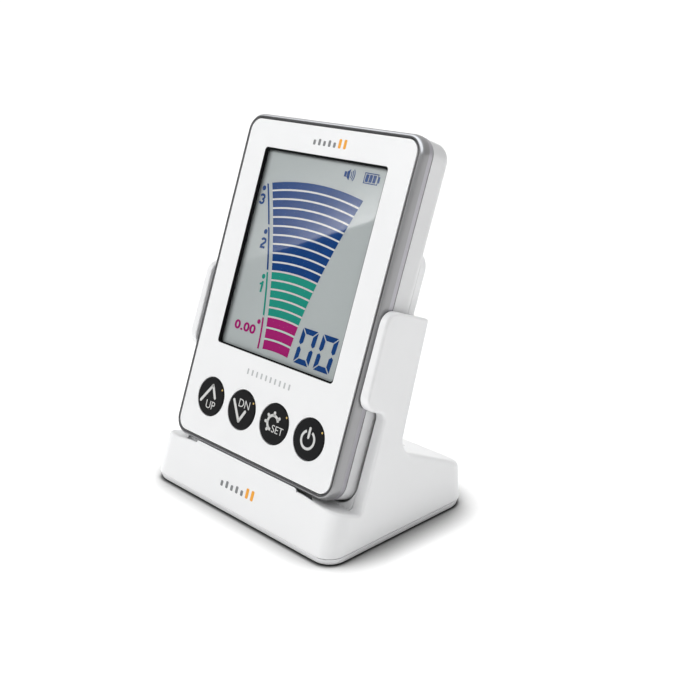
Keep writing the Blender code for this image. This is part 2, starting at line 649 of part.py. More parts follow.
def make_cradle_body():
    body = extruded("cradle_body", [side_outline()], -BASE_HALF_W, BASE_HALF_W, SIDE_ON)
    low_enough = in_world(LEDGE_Z, 0)[1] + 1e-4

    def front_corner(p, q):
        return abs(p.x - q.x) < 1e-6 and all(on_front_plane(v) and v.z < low_enough for v in (p, q))

    def rear_corner(p, q):
        return abs(p.x - q.x) < 1e-6 and all(on_rear_wall(v) for v in (p, q))

    round_edges(body, front_corner, FRONT_CORNER_R, 4)
    round_edges(body, rear_corner, REAR_CORNER_R, 4)
    draft_sides(body)
    pocket_top = ARM_Z[1] + 0.030
    front = box(
        "pocket_front", (-POCKET_HALF_W, -0.020, LEDGE_Z), (POCKET_HALF_W, SIDE_FRONT_Y, pocket_top)
    )
    low = LEDGE_Z - POCKET_STEP
    outline = rectangle(2 * POCKET_HALF_W, pocket_top - low, POCKET_R, low=low)
    rear = extruded("pocket_rear", [outline], SIDE_FRONT_Y - 0.001, POCKET_BACK_Y)
    cut(body, front, rear)
    for middle in mirrored_x(RELIEF_X):
        left, right = middle - RELIEF_HALF_W, middle + RELIEF_HALF_W
        relief = box("relief", (left, -0.004, LEDGE_SIDE_Z), (right, SIDE_FRONT_Y - LEDGE_R, 0.004))
        cut(body, relief)
    low = ARM_Z[1] - PLATE_ROOT
    outline = rectangle(2 * PLATE_HALF_W, PLATE_TOP_Z - low, PLATE_R, low=low)
    plate = extruded("plate", [outline], POCKET_BACK_Y, UPRIGHT_BACK[0][1] - 0.00005)
    join(body, plate)
    inside = BASE_HALF_W - HOLLOW_SIDE
    cut(body, extruded("hollow", [hollow_outline()], -inside, inside, SIDE_ON), tilted=False)
    for x, y in BASE_SCREW_XY:
        boss = cylinder("boss", BASE_BOSS_R, (x, y, SEAM_Z + 0.0001), (x, y, boss_top(y)), 16)
        join(body, boss, tilted=False)
    for x, y in BASE_SCREW_XY:
        cut(body, cylinder("hole", BASE_HOLE_R, (x, y, 0), (x, y, BASE_HOLE_TOP), 12), tilted=False)
    return place(body, WHITE)


def boss_top(y):
    """A height inside the cradle's solid above the hollow at this place."""
    return BASE_BOSS_TOP if y < 0 else foot_top(y) - BASE_BOSS_SKIN


def plate_outline(inset):
    """The base plate's rounded outline on the desk plane."""
    front = down_face_to(SEAM_Z)[0] + inset
    half = BASE_HALF_W - inset
    back = BASE_BACK_Y - inset
    return rounded(
        [
            (-half, front, FRONT_CORNER_R),
            (half, front, FRONT_CORNER_R),
            (half, back, REAR_CORNER_R),
            (-half, back, REAR_CORNER_R),
        ],
        4,
    )


def make_base_plate():
    holes = [circle(SCREW_CLEAR_R, x, y, 12) for x, y in BASE_SCREW_XY]
    top = BASE_PLATE_LOW + BASE_PLATE_T
    plate = extruded(
        "base_plate", [plate_outline(BASE_PLATE_INSET), *holes], BASE_PLATE_LOW, top, FLAT
    )
    for x, y in BASE_SCREW_XY:
        seat = cylinder("seat", SCREW_SEAT_R, (x, y, -0.001), (x, y, SCREW_SEAT_TOP), 16)
        cut(plate, seat, tilted=False)
    recess_top = BASE_PLATE_LOW + FOOT_RECESS
    for x, y in FOOT_XY:
        recess = cylinder("recess", FOOT_R + GAP, (x, y, -0.001), (x, y, recess_top), 20)
        cut(plate, recess, tilted=False)
    place(plate, WHITE)
    for number, (x, y) in enumerate(FOOT_XY, start=1):
        place(cylinder(f"foot_{number}", FOOT_R, (x, y, 0), (x, y, recess_top - 0.0001), 20), RUBBER)
    profile = screw_profile(BASE_SCREW_LENGTH, BASE_SCREW_R, BASE_SCREW_HEAD_R, BASE_SCREW_HEAD_T)
    for number, (x, y) in enumerate(BASE_SCREW_XY, start=1):
        screw = turned(f"base_screw_{number}", profile, 12)
        screw.location = (x, y, SCREW_SEAT_TOP - 0.0001 + BASE_SCREW_LENGTH)
        screw.rotation_euler = (-math.pi / 2, 0, 0)
        place(screw, STEEL)


def make_ballast():
    size, (x, y) = Vector(BALLAST_SIZE), BALLAST_AT
    low = Vector((x - size.x / 2, y - size.y / 2, BASE_PLATE_LOW + BASE_PLATE_T + GAP))
    ballast = box("ballast", low, low + size)
    round_edges(ballast, lambda p, q: abs(p.z - q.z) > 1e-6, 0.0010, 2)
    place(ballast, STEEL)


def main():
    make_front_panel()
    make_trim_band()
    make_rear_case()
    make_display()
    make_board()
    make_probe_socket()
    make_keys()
    make_case_screws()
    make_battery_door()
    make_cradle_body()
    make_base_plate()
    make_ballast()


main()
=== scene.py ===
"""Looks of the apex locator: a hand-held measuring unit standing in its desk cradle.

Lengths are metres. The unit leans back in the cradle, so its pieces are modelled in a tilted frame:
x across the face, y into the case (0 on the face), z up the face from its bottom edge. UNIT takes
that frame to the row frame; its tilt comes from the lift joint and its place from the CAD nodes.
"""

import json
import math

import bmesh
import bpy
from mathutils import Matrix, Vector

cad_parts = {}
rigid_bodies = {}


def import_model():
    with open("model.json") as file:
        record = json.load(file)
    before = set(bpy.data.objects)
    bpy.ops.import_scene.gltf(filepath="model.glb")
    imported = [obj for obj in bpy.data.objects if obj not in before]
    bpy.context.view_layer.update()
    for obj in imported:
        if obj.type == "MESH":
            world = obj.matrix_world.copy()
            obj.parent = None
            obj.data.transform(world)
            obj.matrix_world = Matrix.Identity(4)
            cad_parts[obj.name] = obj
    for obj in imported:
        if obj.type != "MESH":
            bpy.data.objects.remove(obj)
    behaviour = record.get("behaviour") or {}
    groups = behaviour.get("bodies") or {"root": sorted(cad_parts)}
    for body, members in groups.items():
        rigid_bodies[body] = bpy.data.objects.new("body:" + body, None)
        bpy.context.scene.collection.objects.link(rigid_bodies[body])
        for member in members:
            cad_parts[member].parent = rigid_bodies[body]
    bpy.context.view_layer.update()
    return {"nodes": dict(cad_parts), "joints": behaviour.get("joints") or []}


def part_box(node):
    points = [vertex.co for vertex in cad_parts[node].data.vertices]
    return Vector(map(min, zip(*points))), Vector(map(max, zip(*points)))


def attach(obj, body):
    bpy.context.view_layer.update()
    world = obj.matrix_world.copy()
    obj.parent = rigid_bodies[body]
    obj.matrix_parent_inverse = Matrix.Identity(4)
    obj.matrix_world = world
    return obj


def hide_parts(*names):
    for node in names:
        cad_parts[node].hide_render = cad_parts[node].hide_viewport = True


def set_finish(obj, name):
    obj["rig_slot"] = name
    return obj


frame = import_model()

# ---- where the CAD put things ----

LIFT = Vector(next(j["axis"] for j in frame["joints"] if j["name"] == "handset_lift"))
ACROSS = Vector((1, 0, 0))
AXES = Matrix((ACROSS, LIFT.cross(ACROSS), LIFT)).transposed()
TILT = math.atan2(LIFT.y, LIFT.z)


def extent(node):
    """Lowest and highest corner of a CAD node along the tilted frame's axes."""
    points = [AXES.transposed() @ v.co for v in frame["nodes"][node].data.vertices]
    low = Vector([min(p[k] for p in points) for k in range(3)])
    high = Vector([max(p[k] for p in points) for k in range(3)])
    return low, high


PANEL_INSET = 0.0007  # the white plate stops this far inside the face's outline
panel_low, panel_high = extent("front_panel")
FACE_START = Vector((0, panel_low.y, panel_low.z - PANEL_INSET))
UNIT = Matrix.Translation(AXES @ FACE_START) @ AXES.to_4x4()
FACE_W = panel_high.x - panel_low.x + 2 * PANEL_INSET
FACE_H = panel_high.z - panel_low.z + 2 * PANEL_INSET


def unit_extent(node):
    """Lowest and highest corner of a CAD node in the tilted frame."""
    low, high = extent(node)
    return low - FACE_START, high - FACE_START


# ---- driving dimensions, metres ----

GAP = 0.0003
FACE_R = 0.0042
PANEL_T = 0.0012
BAND_OUT = (unit_extent("trim_band")[1].x - unit_extent("trim_band")[0].x - FACE_W) / 2
BAND_D = unit_extent("trim_band")[1].y
RIM_OUT, RIM_DROP, SLOPE_D = 0.00012, 0.00005, 0.0027
RING_SOFT, RIM_BACK = 0.0001, 0.00004  # one step of the ring's softened edges; back of the rim painted dark as shade
CASE_OUT, CASE_T, CASE_EDGE_R = 0.0007, 0.0013, 0.0034
CASE_BACK = unit_extent("rear_case")[1].y

LENS_LOW, LENS_HIGH = unit_extent("window_lens")
LENS_SIDE = 0.0002
WINDOW_LOW = Vector((LENS_LOW.x - LENS_SIDE, LENS_LOW.z - LENS_SIDE))
WINDOW_HIGH = Vector((LENS_HIGH.x + LENS_SIDE, LENS_HIGH.z + LENS_SIDE))
WINDOW_R = 0.0009
MASK_W, MASK_TOP_W = 0.00045, 0.00060  # black border printed round the window
MASK_FRONT, LENS_FRONT, LENS_BACK = 0.00045, 0.00052, 0.00090
SCREEN_Y = 0.00118  # the display's visible surface
SHADE_START, SHADE_LEFT, SHADE_TOP, SHADE_DEEP = 0.0006, 0.0028, 0.0014, 0.40

BUTTON_NAMES = ("button_up", "button_down", "button_set", "button_power")
HOLE_CLEARANCE = 0.0002
BUTTON_R = 0.00545
PANEL_EDGE_R, SKIRT_INSET, SKIRT_T = 0.00012, 0.0001, 0.0012
WALL_REACH = 0.00004  # the window's black wall ends this far outside the opening
BOSS_R, BOSS_HOLE_R, BOSS_BACK = 0.0019, 0.0009, 0.0095
SCREW_X, SCREW_Z = 0.0265, (0.0055, 0.0874)
KEY_FRONT, KEY_EDGE_R, KEY_FLANGE_FRONT = -0.0002, 0.0003, 0.0015
DOOR_W, DOOR_Z, DOOR_T, DOOR_ROOM, DOOR_EDGE_R = 0.0440, 0.0510, 0.0012, 0.00015, 0.0002
ENGRAVED, GROOVES, GROOVE_Z, GROOVE_PITCH = 0.00035, 5, FACE_H - 0.0085, 0.0016
GROOVE_HALF_W, GROOVE_H = 0.0070, 0.0008
TRAY_W, TRAY_Z, TRAY_FRONT = 0.0476, 0.0495, 0.0072
BAY_W, BAY_Z, BAY_H, BAY_FRONT = 0.0386, 0.0552, 0.0350, 0.0080
SOCKET_Z, SOCKET_Y, SOCKET_COLLAR_R, SOCKET_BORE_R = 0.0700, 0.0084, 0.0026, 0.0018
CONTACT_HALF_W, CONTACT_BACK = 0.0050, 0.0104
BUZZER_AT, SOUND_HOLES, SOUND_RING_R, SOUND_HOLE_R = (-0.0120, 0.0340), 6, 0.003, 0.0007
CASE_HOLE_FRONT, SCREW_HOLE_R, SCREW_SEAT_R, SCREW_SEAT_T = 0.009, 0.0010, 0.0018, 0.0008
SOCKET_ROOM, SOCKET_BORE_L, SOCKET_EDGE_R = 0.0010, 0.0045, 0.0002
CASE_HEAD_T, BASE_HEAD_T, SCREW_POINT, HEAD_CROWN = 0.0007, 0.0004, 0.0006, 0.0003
CROSS_W, CROSS_ARM, CROSS_DEEP = 0.00022, 0.62, 0.55  # arm and depth are shares of the head's sizes

# printed marks, at these places on the face and the cradle's front: (x, z) and size
MARK_PLACES = {"top": (0.0010, 0.0884, 1.0), "cradle": (-0.0008, -0.0080, 1.12)}
MARK_H, MARK_PITCH, MARK_W, MARK_GREY = 0.0025, 0.0019, 0.0009, (0.55, 0.7, 0.55, 0.7, 0.55)
DASH_AT, DASHES, DASH_H, DASH_PITCH, DASH_W = (0.0005, 0.0233), 10, 0.0016, 0.00187, 0.0006
PRINT_T = 0.00002

BASE_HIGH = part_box("base_plate")[1]
CRADLE_LOW, CRADLE_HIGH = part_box("cradle_body")
SEAM_Z = CRADLE_LOW.z
# The base cover's lowest point, and how far in the grey band of painted seam shade sits.
COVER_LOW, SEAM_SHADE_INSET = 0.00015, 0.00045
SIDE_DRAFT = 0.026  # what the half width loses per metre up
BASE_HALF_W = CRADLE_HIGH.x + SEAM_Z * SIDE_DRAFT
BASE_BACK_Y, BASE_TOP_BACK_Y = CRADLE_HIGH.y, CRADLE_HIGH.y - 0.00085
FRONT_CORNER_R, REAR_CORNER_R = 0.0050, 0.0060
ARM_Z, ARM_R, ARM_NOTCH_R = (0.0246, 0.0502), 0.0038, 0.0020
LEDGE_Z, LEDGE_SIDE_Z, LEDGE_R = -0.00135, -0.0020, 0.0013
SIDE_FRONT_Y = 0.0080
POCKET_HALF_W, POCKET_BACK_Y, POCKET_R = 0.03344, CASE_BACK + GAP, 0.0058
POCKET_TOP, POCKET_STEP = ARM_Z[1] + 0.030, 0.00005
PLATE_HALF_W, PLATE_TOP_Z, PLATE_R, PLATE_ROOT = 0.0307, 0.0666, 0.0050, 0.0100
UPRIGHT_BACK = ((0.0502, 0.0158), (0.0200, 0.0169))  # (z, y) on the back face of the upright
FOOT_SLOPE, FOOT_FRONT_YZ, FOOT_FILLET_R = -0.4455, (0.0070, 0.0207), 0.0060
WALL = 0.0024
HOLLOW_SIDE, BOSS_TOP, BASE_BOSS_SKIN = 0.0033, 0.0090, 0.0022
BASE_BOSS_R, BASE_HOLE_R = 0.0026, 0.0011
HEAD_ROOM, HEAD_SEAT, FOOT_SEAT = 0.0005, 0.0005, 0.0001
SILL_FLAT, SILL_END = 0.0215, 0.0318
LIP_SPAN, LIP_Z, LIP_T, LIP_R = (-0.0212, 0.0203), -0.00062, 0.0012, 0.0008
SILL_DEEP, SILL_EDGE_R = 0.008, 0.0005
SLOTS = ((-0.0264, -0.0216), (0.0206, 0.0268))
SLOT_FRONT, SLOT_BACK, SLOT_DEEP = 0.0003, 0.0060, 0.0016
FRONT_EDGE_R, FOOT_EDGE_R, UPRIGHT_EDGE_R, INNER_EDGE_R = 0.0008, 0.0015, 0.0006, 0.00035

# what the display and the keys show, as shares of the face's width
FAN_X, FAN_CENTRE_Z = -0.012, -0.15  # axis of the fan, and centre of its arcs
FAN_TOP, BAR_PITCH, BAR_T = 1.2025, 0.0391, 0.0316
ROOT_TOP, ROOT_PITCH, ROOT_T = 0.6160, 0.0482, 0.0405
FAN_LOW_Z, FAN_LOW_HALF, FAN_FLARE, FAN_SPAN, FAN_POWER = 0.473, 0.080, 0.196, 0.702, 1.55
SCALE_AWAY, SCALE_LINE = 0.028, 0.010
DIGIT_RX, DIGIT_RZ, DIGIT_STROKE = 0.0125, 0.0094, 0.0105
ICON_LINE = 0.004
LEGEND_T = 0.0135
GEAR_AT, GEAR_TEETH, GEAR_TOOTH = (-0.006, 0.003), (38, 90, 142, 184, 232), (0.034, 0.043)
POWER_AT, DOT = (-0.001, -0.003), (0.0045, 0.0665, 0.0460)
WORDS = (("UP", 0.013, -0.036, 0.036), ("DN", 0.013, 0.028, 0.034), ("SET", 0.031, -0.019, 0.032))
WORD_WEIGHT = -0.004

LAYER, WORD_PROUD = 0.00001, 0.00003  # a print's thickness, and how far words stand out, in metres
ARC_STEPS = 10
ROUND_STEPS = 64
WELD = 1e-7
NEAR = 1e-6  # two places this close count as the same
THROUGH = 0.02  # a place behind the case, where the holes through its back end
FACE_ON = Matrix.Rotation(math.pi / 2, 4, "X")  # outline (x, z), thickness along -y
SIDE_ON = Matrix(((0, 0, 1, 0), (1, 0, 0, 0), (0, 1, 0, 0), (0, 0, 0, 1)))  # outline (y, z)
FLAT = Matrix.Identity(4)


# ---- materials ----

DRIFT_SCALE, GRAIN_HEIGHT = 45.0, 0.0001


def feed(tree, node, inputs):
    """Gives a node's inputs their values, or links the output sockets that drive them."""
    for socket, value in inputs.items():
        if isinstance(value, bpy.types.NodeSocket):
            tree.links.new(value, node.inputs[socket])
        else:
            node.inputs[socket].default_value = value


def add_node(tree, kind, inputs=None, **settings):
    node = tree.nodes.new("ShaderNode" + kind)
    for setting, value in settings.items():
        setattr(node, setting, value)
    feed(tree, node, inputs or {})
    return node


def ramp(tree, value, low, high, start=0.0, end=1.0, kind="LINEAR"):
    """Maps a value's stretch from start to end onto low to high."""
    span = {"Value": value, "From Min": start, "From Max": end, "To Min": low, "To Max": high}
    return add_node(tree, "MapRange", span, interpolation_type=kind).outputs["Result"]


def calculate(tree, operation, first, second):
    return add_node(tree, "Math", {0: first, 1: second}, operation=operation).outputs["Value"]


def make_material(name, colour, roughness, metallic=0.0, grain=2500.0, bump=0.04, mottle=0.02,
                  smudge=0.06, **sockets):
    """A Principled finish with fine grain in the normal and slow drifts of colour and gloss."""
    material = bpy.data.materials.new(name)
    material.use_nodes = True
    tree = material.node_tree
    place = add_node(tree, "TexCoord").outputs["Object"]
    drift = add_node(tree, "TexNoise", {"Scale": DRIFT_SCALE, "Detail": 3.0, "Vector": place}).outputs["Fac"]
    tone = add_node(tree, "Mix", {
        "A": (*[c * (1 - mottle) for c in colour], 1),
        "B": (*[min(1.0, c * (1 + mottle)) for c in colour], 1),
        "Factor": drift,
    }, data_type="RGBA")
    fine = add_node(tree, "TexNoise", {"Scale": grain, "Detail": 2.0, "Vector": place})
    relief = add_node(tree, "Bump", {
        "Strength": bump, "Distance": GRAIN_HEIGHT, "Height": fine.outputs["Fac"],
    })
    feed(tree, tree.nodes["Principled BSDF"], {
        "Base Color": tone.outputs["Result"],
        "Roughness": ramp(tree, drift, max(0.0, roughness - smudge), min(1.0, roughness + smudge)),
        "Metallic": metallic,
        "Normal": relief.outputs["Normal"],
        **{socket.replace("_", " "): value for socket, value in sockets.items()},
    })
    return material


FACE_WHITE = make_material("face_white", (0.87, 0.875, 0.88), 0.22, grain=1200, bump=0.01, mottle=0.005)
SHELL_WHITE = make_material("shell_white", (0.85, 0.855, 0.86), 0.30, grain=3500, bump=0.05, mottle=0.008)
CASE_WHITE = make_material("case_white", (0.76, 0.765, 0.77), 0.30, grain=3500, bump=0.05, mottle=0.008)
# Three copies of one silver, lit and shaded: the flat front rim painted dark as shade at the face's edge,
# the sloping front painted darker and the side painted paler, as painted reflection of darker and brighter
# surroundings.
SILVER_RIM_PAINTED_SHADE = make_material("silver_rim_painted_shade", (0.085, 0.085, 0.088), 0.30, 0.5, grain=4000, bump=0.03)
SILVER_FRONT_PAINTED_SHADE = make_material("silver_front_painted_shade", (0.33, 0.33, 0.335), 0.30, 0.8, grain=4000, bump=0.01)
SILVER_SIDE_PAINTED_REFLECTION = make_material("silver_side_painted_reflection", (0.41, 0.40, 0.43), 0.34, 0.7, grain=4000, bump=0.005)
BLACK = make_material("black_satin", (0.018, 0.019, 0.020), 0.38, grain=3000, bump=0.05)
KEY_BLACK = make_material("key_rubber", (0.012, 0.012, 0.013), 0.45, grain=3500, bump=0.05,
                          Specular_IOR_Level=0.08)
MASK_BLACK = make_material("window_mask_black", (0.006, 0.007, 0.007), 0.50, bump=0.02,
                           Specular_IOR_Level=0.05)
LEGEND = make_material("key_legend", (0.62, 0.62, 0.61), 0.45, bump=0.02)
# Grey for print, also used for the painted shade in the base seam.
GREY_PRINT_AND_SEAM_SHADE = make_material("grey_print_and_seam_shade", (0.20, 0.205, 0.21), 0.40, bump=0.02)
PRINT_PALE = make_material("print_pale_grey", (0.46, 0.47, 0.48), 0.40, bump=0.02)
PRINT_ORANGE = make_material("print_orange", (0.85, 0.36, 0.02), 0.40, bump=0.02)
AMBER = make_material("amber_dot", (0.62, 0.42, 0.12), 0.30, bump=0.02)


def screen_material(name, colour):
    """What shows in the display: flat colour under a smooth glossy surface."""
    return make_material(name, colour, 0.03, grain=900, bump=0.0, mottle=0.015, smudge=0.005)


def shade_near_frame(material):
    """Darkens the display towards the left and top of its window, where the frame shades it."""
    tree = material.node_tree
    base = tree.nodes["Principled BSDF"].inputs["Base Color"]
    place = add_node(tree, "TexCoord").outputs["Object"]
    top = FACE_START.z + WINDOW_HIGH.y
    shares = []
    for axis, edge, clear in (
        (ACROSS, WINDOW_LOW.x + SHADE_START, WINDOW_LOW.x + SHADE_LEFT),
        (LIFT, top - SHADE_START, top - SHADE_TOP),
    ):
        along = add_node(tree, "VectorMath", {0: place, 1: axis}, operation="DOT_PRODUCT")
        shares.append(ramp(tree, along.outputs["Value"], SHADE_DEEP, 1.0, edge, clear, "SMOOTHSTEP"))
    shade = {0: base.links[0].from_socket, "Scale": calculate(tree, "MULTIPLY", *shares)}
    shaded = add_node(tree, "VectorMath", shade, operation="SCALE")
    tree.links.new(shaded.outputs["Vector"], base)


SCREEN = screen_material("lcd_glass_grey", (0.43, 0.465, 0.465))
shade_near_frame(SCREEN)
GAP_LIGHT = screen_material("lcd_gap_light", (0.66, 0.66, 0.64))
GAP_ROSE = screen_material("lcd_gap_rose", (0.60, 0.54, 0.55))
GAP_GREEN = screen_material("lcd_gap_green", (0.46, 0.60, 0.55))
BLUE = screen_material("lcd_blue", (0.010, 0.050, 0.190))
GREEN = screen_material("lcd_green", (0.018, 0.265, 0.200))
MAGENTA = screen_material("lcd_magenta", (0.340, 0.016, 0.145))
LENS = make_material("lens_clear", (0.02, 0.022, 0.022), 0.03, bump=0.0, smudge=0.002, Alpha=0.02,
                     Specular_IOR_Level=0.1)
LIGHT_GUIDE = make_material("light_guide", (0.78, 0.82, 0.78), 0.40, bump=0.03)
RUBBER = make_material("dark_rubber", (0.04, 0.04, 0.042), 0.75, grain=1800, bump=0.25)
BOARD = make_material("green_board", (0.02, 0.13, 0.05), 0.40, grain=700, bump=0.15, mottle=0.25)
CHIP = make_material("chip_black", (0.03, 0.03, 0.032), 0.50, grain=2500, bump=0.15)
BRASS = make_material("contact_brass", (0.72, 0.55, 0.25), 0.28, 1.0, grain=2500, bump=0.08)
STEEL = make_material("steel", (0.55, 0.56, 0.58), 0.32, 1.0, grain=2500, bump=0.10)
FOIL = make_material("battery_foil", (0.52, 0.54, 0.58), 0.36, 0.5, grain=500, bump=0.20)


# ---- modelling helpers ----


def rounded(corners, steps=ARC_STEPS):
    """An outline from (a, b, radius) corners: each radius above 0 becomes an arc tangent to both sides."""
    points = []
    count = len(corners)
    for index, (a, b, radius) in enumerate(corners):
        here = Vector((a, b))
        if radius <= 0:
            points.append(here)
            continue
        before = (Vector(corners[index - 1][:2]) - here).normalized()
        after = (Vector(corners[(index + 1) % count][:2]) - here).normalized()
        half = before.angle(after) / 2
        centre = here + (before + after).normalized() * radius / math.sin(half)
        first = here + before * radius / math.tan(half) - centre
        turn = first.angle_signed(here + after * radius / math.tan(half) - centre)
        for step in range(steps + 1):
            points.append(centre + Matrix.Rotation(-turn * step / steps, 2) @ first)
    return points


def rectangle(low, high, radius, steps=ARC_STEPS):
    """A rounded rectangle between two (a, b) corners."""
    corners = [(low[0], low[1]), (high[0], low[1]), (high[0], high[1]), (low[0], high[1])]
    return rounded([(a, b, radius) for a, b in corners], steps)


def circle(radius, a=0.0, b=0.0, steps=ROUND_STEPS):
    angles = [2 * math.pi * step / steps for step in range(steps)]
    return [Vector((a + radius * math.cos(t), b + radius * math.sin(t))) for t in angles]


def new_object(name, data):
    obj = bpy.data.objects.new(name, data)
    bpy.context.scene.collection.objects.link(obj)
    return obj


def modelled(name, model):
    """An object from a finished model, which is freed."""
    mesh = bpy.data.meshes.new(name)
    model.to_mesh(mesh)
    model.free()
    return new_object(name, mesh)


def evaluated_mesh(obj):
    depsgraph = bpy.context.evaluated_depsgraph_get()
    return bpy.data.meshes.new_from_object(obj.evaluated_get(depsgraph))


def tidy(mesh):
    """Welds loose caps and merges coplanar faces."""
    model = bmesh.new()
    model.from_mesh(mesh)
    bmesh.ops.remove_doubles(model, verts=model.verts, dist=WELD)
    bmesh.ops.dissolve_limit(
        model, angle_limit=math.radians(0.3), verts=model.verts, edges=model.edges
    )
    bmesh.ops.recalc_face_normals(model, faces=model.faces)
    model.to_mesh(mesh)
    model.free()


def extruded(name, outlines, low, high, plane=FACE_ON):
    """A solid from flat outlines (the first is the edge, the others are holes), from low to high."""
    curve = bpy.data.curves.new(name, "CURVE")
    curve.dimensions = "2D"
    curve.fill_mode = "BOTH"
    curve.extrude = (high - low) / 2
    for outline in outlines:
        spline = curve.splines.new("POLY")
        spline.points.add(len(outline) - 1)
        for point, (a, b) in zip(spline.points, outline):
            point.co = (a, b, 0, 1)
        spline.use_cyclic_u = True
    helper = new_object(name, curve)
    mesh = evaluated_mesh(helper)
    bpy.data.objects.remove(helper)
    bpy.data.curves.remove(curve)
    middle = (low + high) / 2
    if plane is FACE_ON:
        middle = -middle
    mesh.transform(plane @ Matrix.Translation((0, 0, middle)))
    tidy(mesh)
    return new_object(name, mesh)


def lofted(name, loops, ring=False):
    """A skin through closed loops of equal length: a ring, or a solid capped at both ends."""
    model = bmesh.new()
    rows = [[model.verts.new(point) for point in loop] for loop in loops]
    pairs = list(zip(rows, rows[1:]))
    if ring:
        pairs.append((rows[-1], rows[0]))
    for first, second in pairs:
        for k in range(len(first)):
            n = (k + 1) % len(first)
            model.faces.new((first[k], first[n], second[n], second[k]))
    if not ring:
        model.faces.new(rows[0])
        model.faces.new(rows[-1])
    bmesh.ops.recalc_face_normals(model, faces=model.faces)
    return modelled(name, model)


def turned(name, profile, axis_point, steps=ROUND_STEPS):
    """A round piece about a line along y, from (radius, y) points that start and end on it."""
    model = bmesh.new()
    points = [model.verts.new((radius, y, 0)) for radius, y in profile]
    edges = [model.edges.new(pair) for pair in zip(points, points[1:])]
    bmesh.ops.spin(
        model, geom=points + edges, cent=(0, 0, 0), axis=(0, 1, 0), dvec=(0, 0, 0),
        angle=2 * math.pi, steps=steps, use_merge=True,
    )
    bmesh.ops.remove_doubles(model, verts=model.verts, dist=WELD)
    bmesh.ops.recalc_face_normals(model, faces=model.faces)
    bmesh.ops.translate(model, vec=axis_point, verts=model.verts)
    return modelled(name, model)


def cylinder(name, radius, start, end, steps=32):
    start, end = Vector(start), Vector(end)
    model = bmesh.new()
    bmesh.ops.create_cone(
        model, cap_ends=True, segments=steps, radius1=radius, radius2=radius,
        depth=(end - start).length,
    )
    obj = modelled(name, model)
    turn = (end - start).to_track_quat("Z", "Y").to_matrix().to_4x4()
    obj.data.transform(Matrix.Translation((start + end) / 2) @ turn)
    return obj


def box(name, low, high):
    low, high = Vector(low), Vector(high)
    model = bmesh.new()
    bmesh.ops.create_cube(model, size=1.0)
    bmesh.ops.scale(model, vec=high - low, verts=model.verts)
    bmesh.ops.translate(model, vec=(low + high) / 2, verts=model.verts)
    return modelled(name, model)


def round_edges(obj, chosen, radius, segments=4):
    """Rounds the edges that chosen(edge) picks."""
    model = bmesh.new()
    model.from_mesh(obj.data)
    bmesh.ops.bevel(
        model, geom=[e for e in model.edges if chosen(e)], offset=radius, segments=segments,
        profile=0.5, affect="EDGES", clamp_overlap=False, loop_slide=True,
    )
    model.to_mesh(obj.data)
    model.free()


def round_edges_by(obj, radius_of, largest, segments):
    """Rounds each edge to the radius that radius_of(edge) gives; 0 leaves it sharp."""
    model = bmesh.new()
    model.from_mesh(obj.data)
    weight = model.edges.layers.float.new("bevel_weight_edge")
    for edge in model.edges:
        edge[weight] = radius_of(edge) / largest
    model.to_mesh(obj.data)
    model.free()
    modifier = obj.modifiers.new("round", "BEVEL")
    modifier.limit_method = "WEIGHT"
    modifier.width = largest
    modifier.segments = segments
    modifier.use_clamp_overlap = False
    mesh = evaluated_mesh(obj)
    obj.modifiers.clear()
    mesh.attributes.remove(mesh.attributes["bevel_weight_edge"])
    obj.data = mesh


def is_sharp(edge, degrees=50):
    return len(edge.link_faces) == 2 and edge.calc_face_angle() > math.radians(degrees)


def combine(obj, operation, *tools):
    """Cuts or joins with the tools and keeps the result as the object's mesh."""
    for tool in tools:
        modifier = obj.modifiers.new("combine", "BOOLEAN")
        modifier.operation = operation
        modifier.solver = "EXACT"
        modifier.object = tool
        mesh = evaluated_mesh(obj)
        obj.modifiers.clear()
        obj.data = mesh
        bpy.data.objects.remove(tool)


def cut(obj, *tools):
    combine(obj, "DIFFERENCE", *tools)


def join(obj, *tools):
    combine(obj, "UNION", *tools)


def to_unit(obj):
    """Takes a mesh modelled in the tilted frame to the row frame."""
    obj.data.transform(UNIT)


def settle(obj, body, materials, slot, replaced=(), tilted=True, weighted=True):
    """Gives a finished piece its place, finish and body."""
    if tilted:
        to_unit(obj)
    obj.data.materials.clear()
    for material in materials if isinstance(materials, (list, tuple)) else [materials]:
        obj.data.materials.append(material)
    obj.data.shade_smooth()
    obj.data.set_sharp_from_angle(angle=math.radians(40))
    if weighted:
        modifier = obj.modifiers.new("even_normals", "WEIGHTED_NORMAL")
        modifier.keep_sharp = True
    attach(obj, body)
    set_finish(obj, slot)
    if replaced:
        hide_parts(*replaced)
    return obj


def paint(obj, index, chosen):
    """Gives the faces that chosen(centre, normal) picks another of the object's materials."""
    for polygon in obj.data.polygons:
        if chosen(polygon.center, polygon.normal):
            polygon.material_index = index


def in_world(z, y):
    """(y, z) in the row frame of a point z up the face and y behind it."""
    point = UNIT @ Vector((0, y, z))
    return point.y, point.z


# ---- hand-held unit ----


def face_outline(grow, steps=ARC_STEPS):
    """The face's rounded rectangle, grown on every side."""
    low = (-FACE_W / 2 - grow, -grow)
    high = (FACE_W / 2 + grow, FACE_H + grow)
    return rectangle(low, high, FACE_R + grow, steps)


def face_loop(grow, y):
    return [(a, y, b) for a, b in face_outline(grow)]


def button_spots():
    """(name, x, z) of each key."""
    spots = []
    for name in BUTTON_NAMES:
        low, high = unit_extent(name)
        spots.append((name, (low.x + high.x) / 2, (low.z + high.z) / 2))
    return spots


def screw_spots():
    return [(x, z) for x in (-SCREW_X, SCREW_X) for z in SCREW_Z]


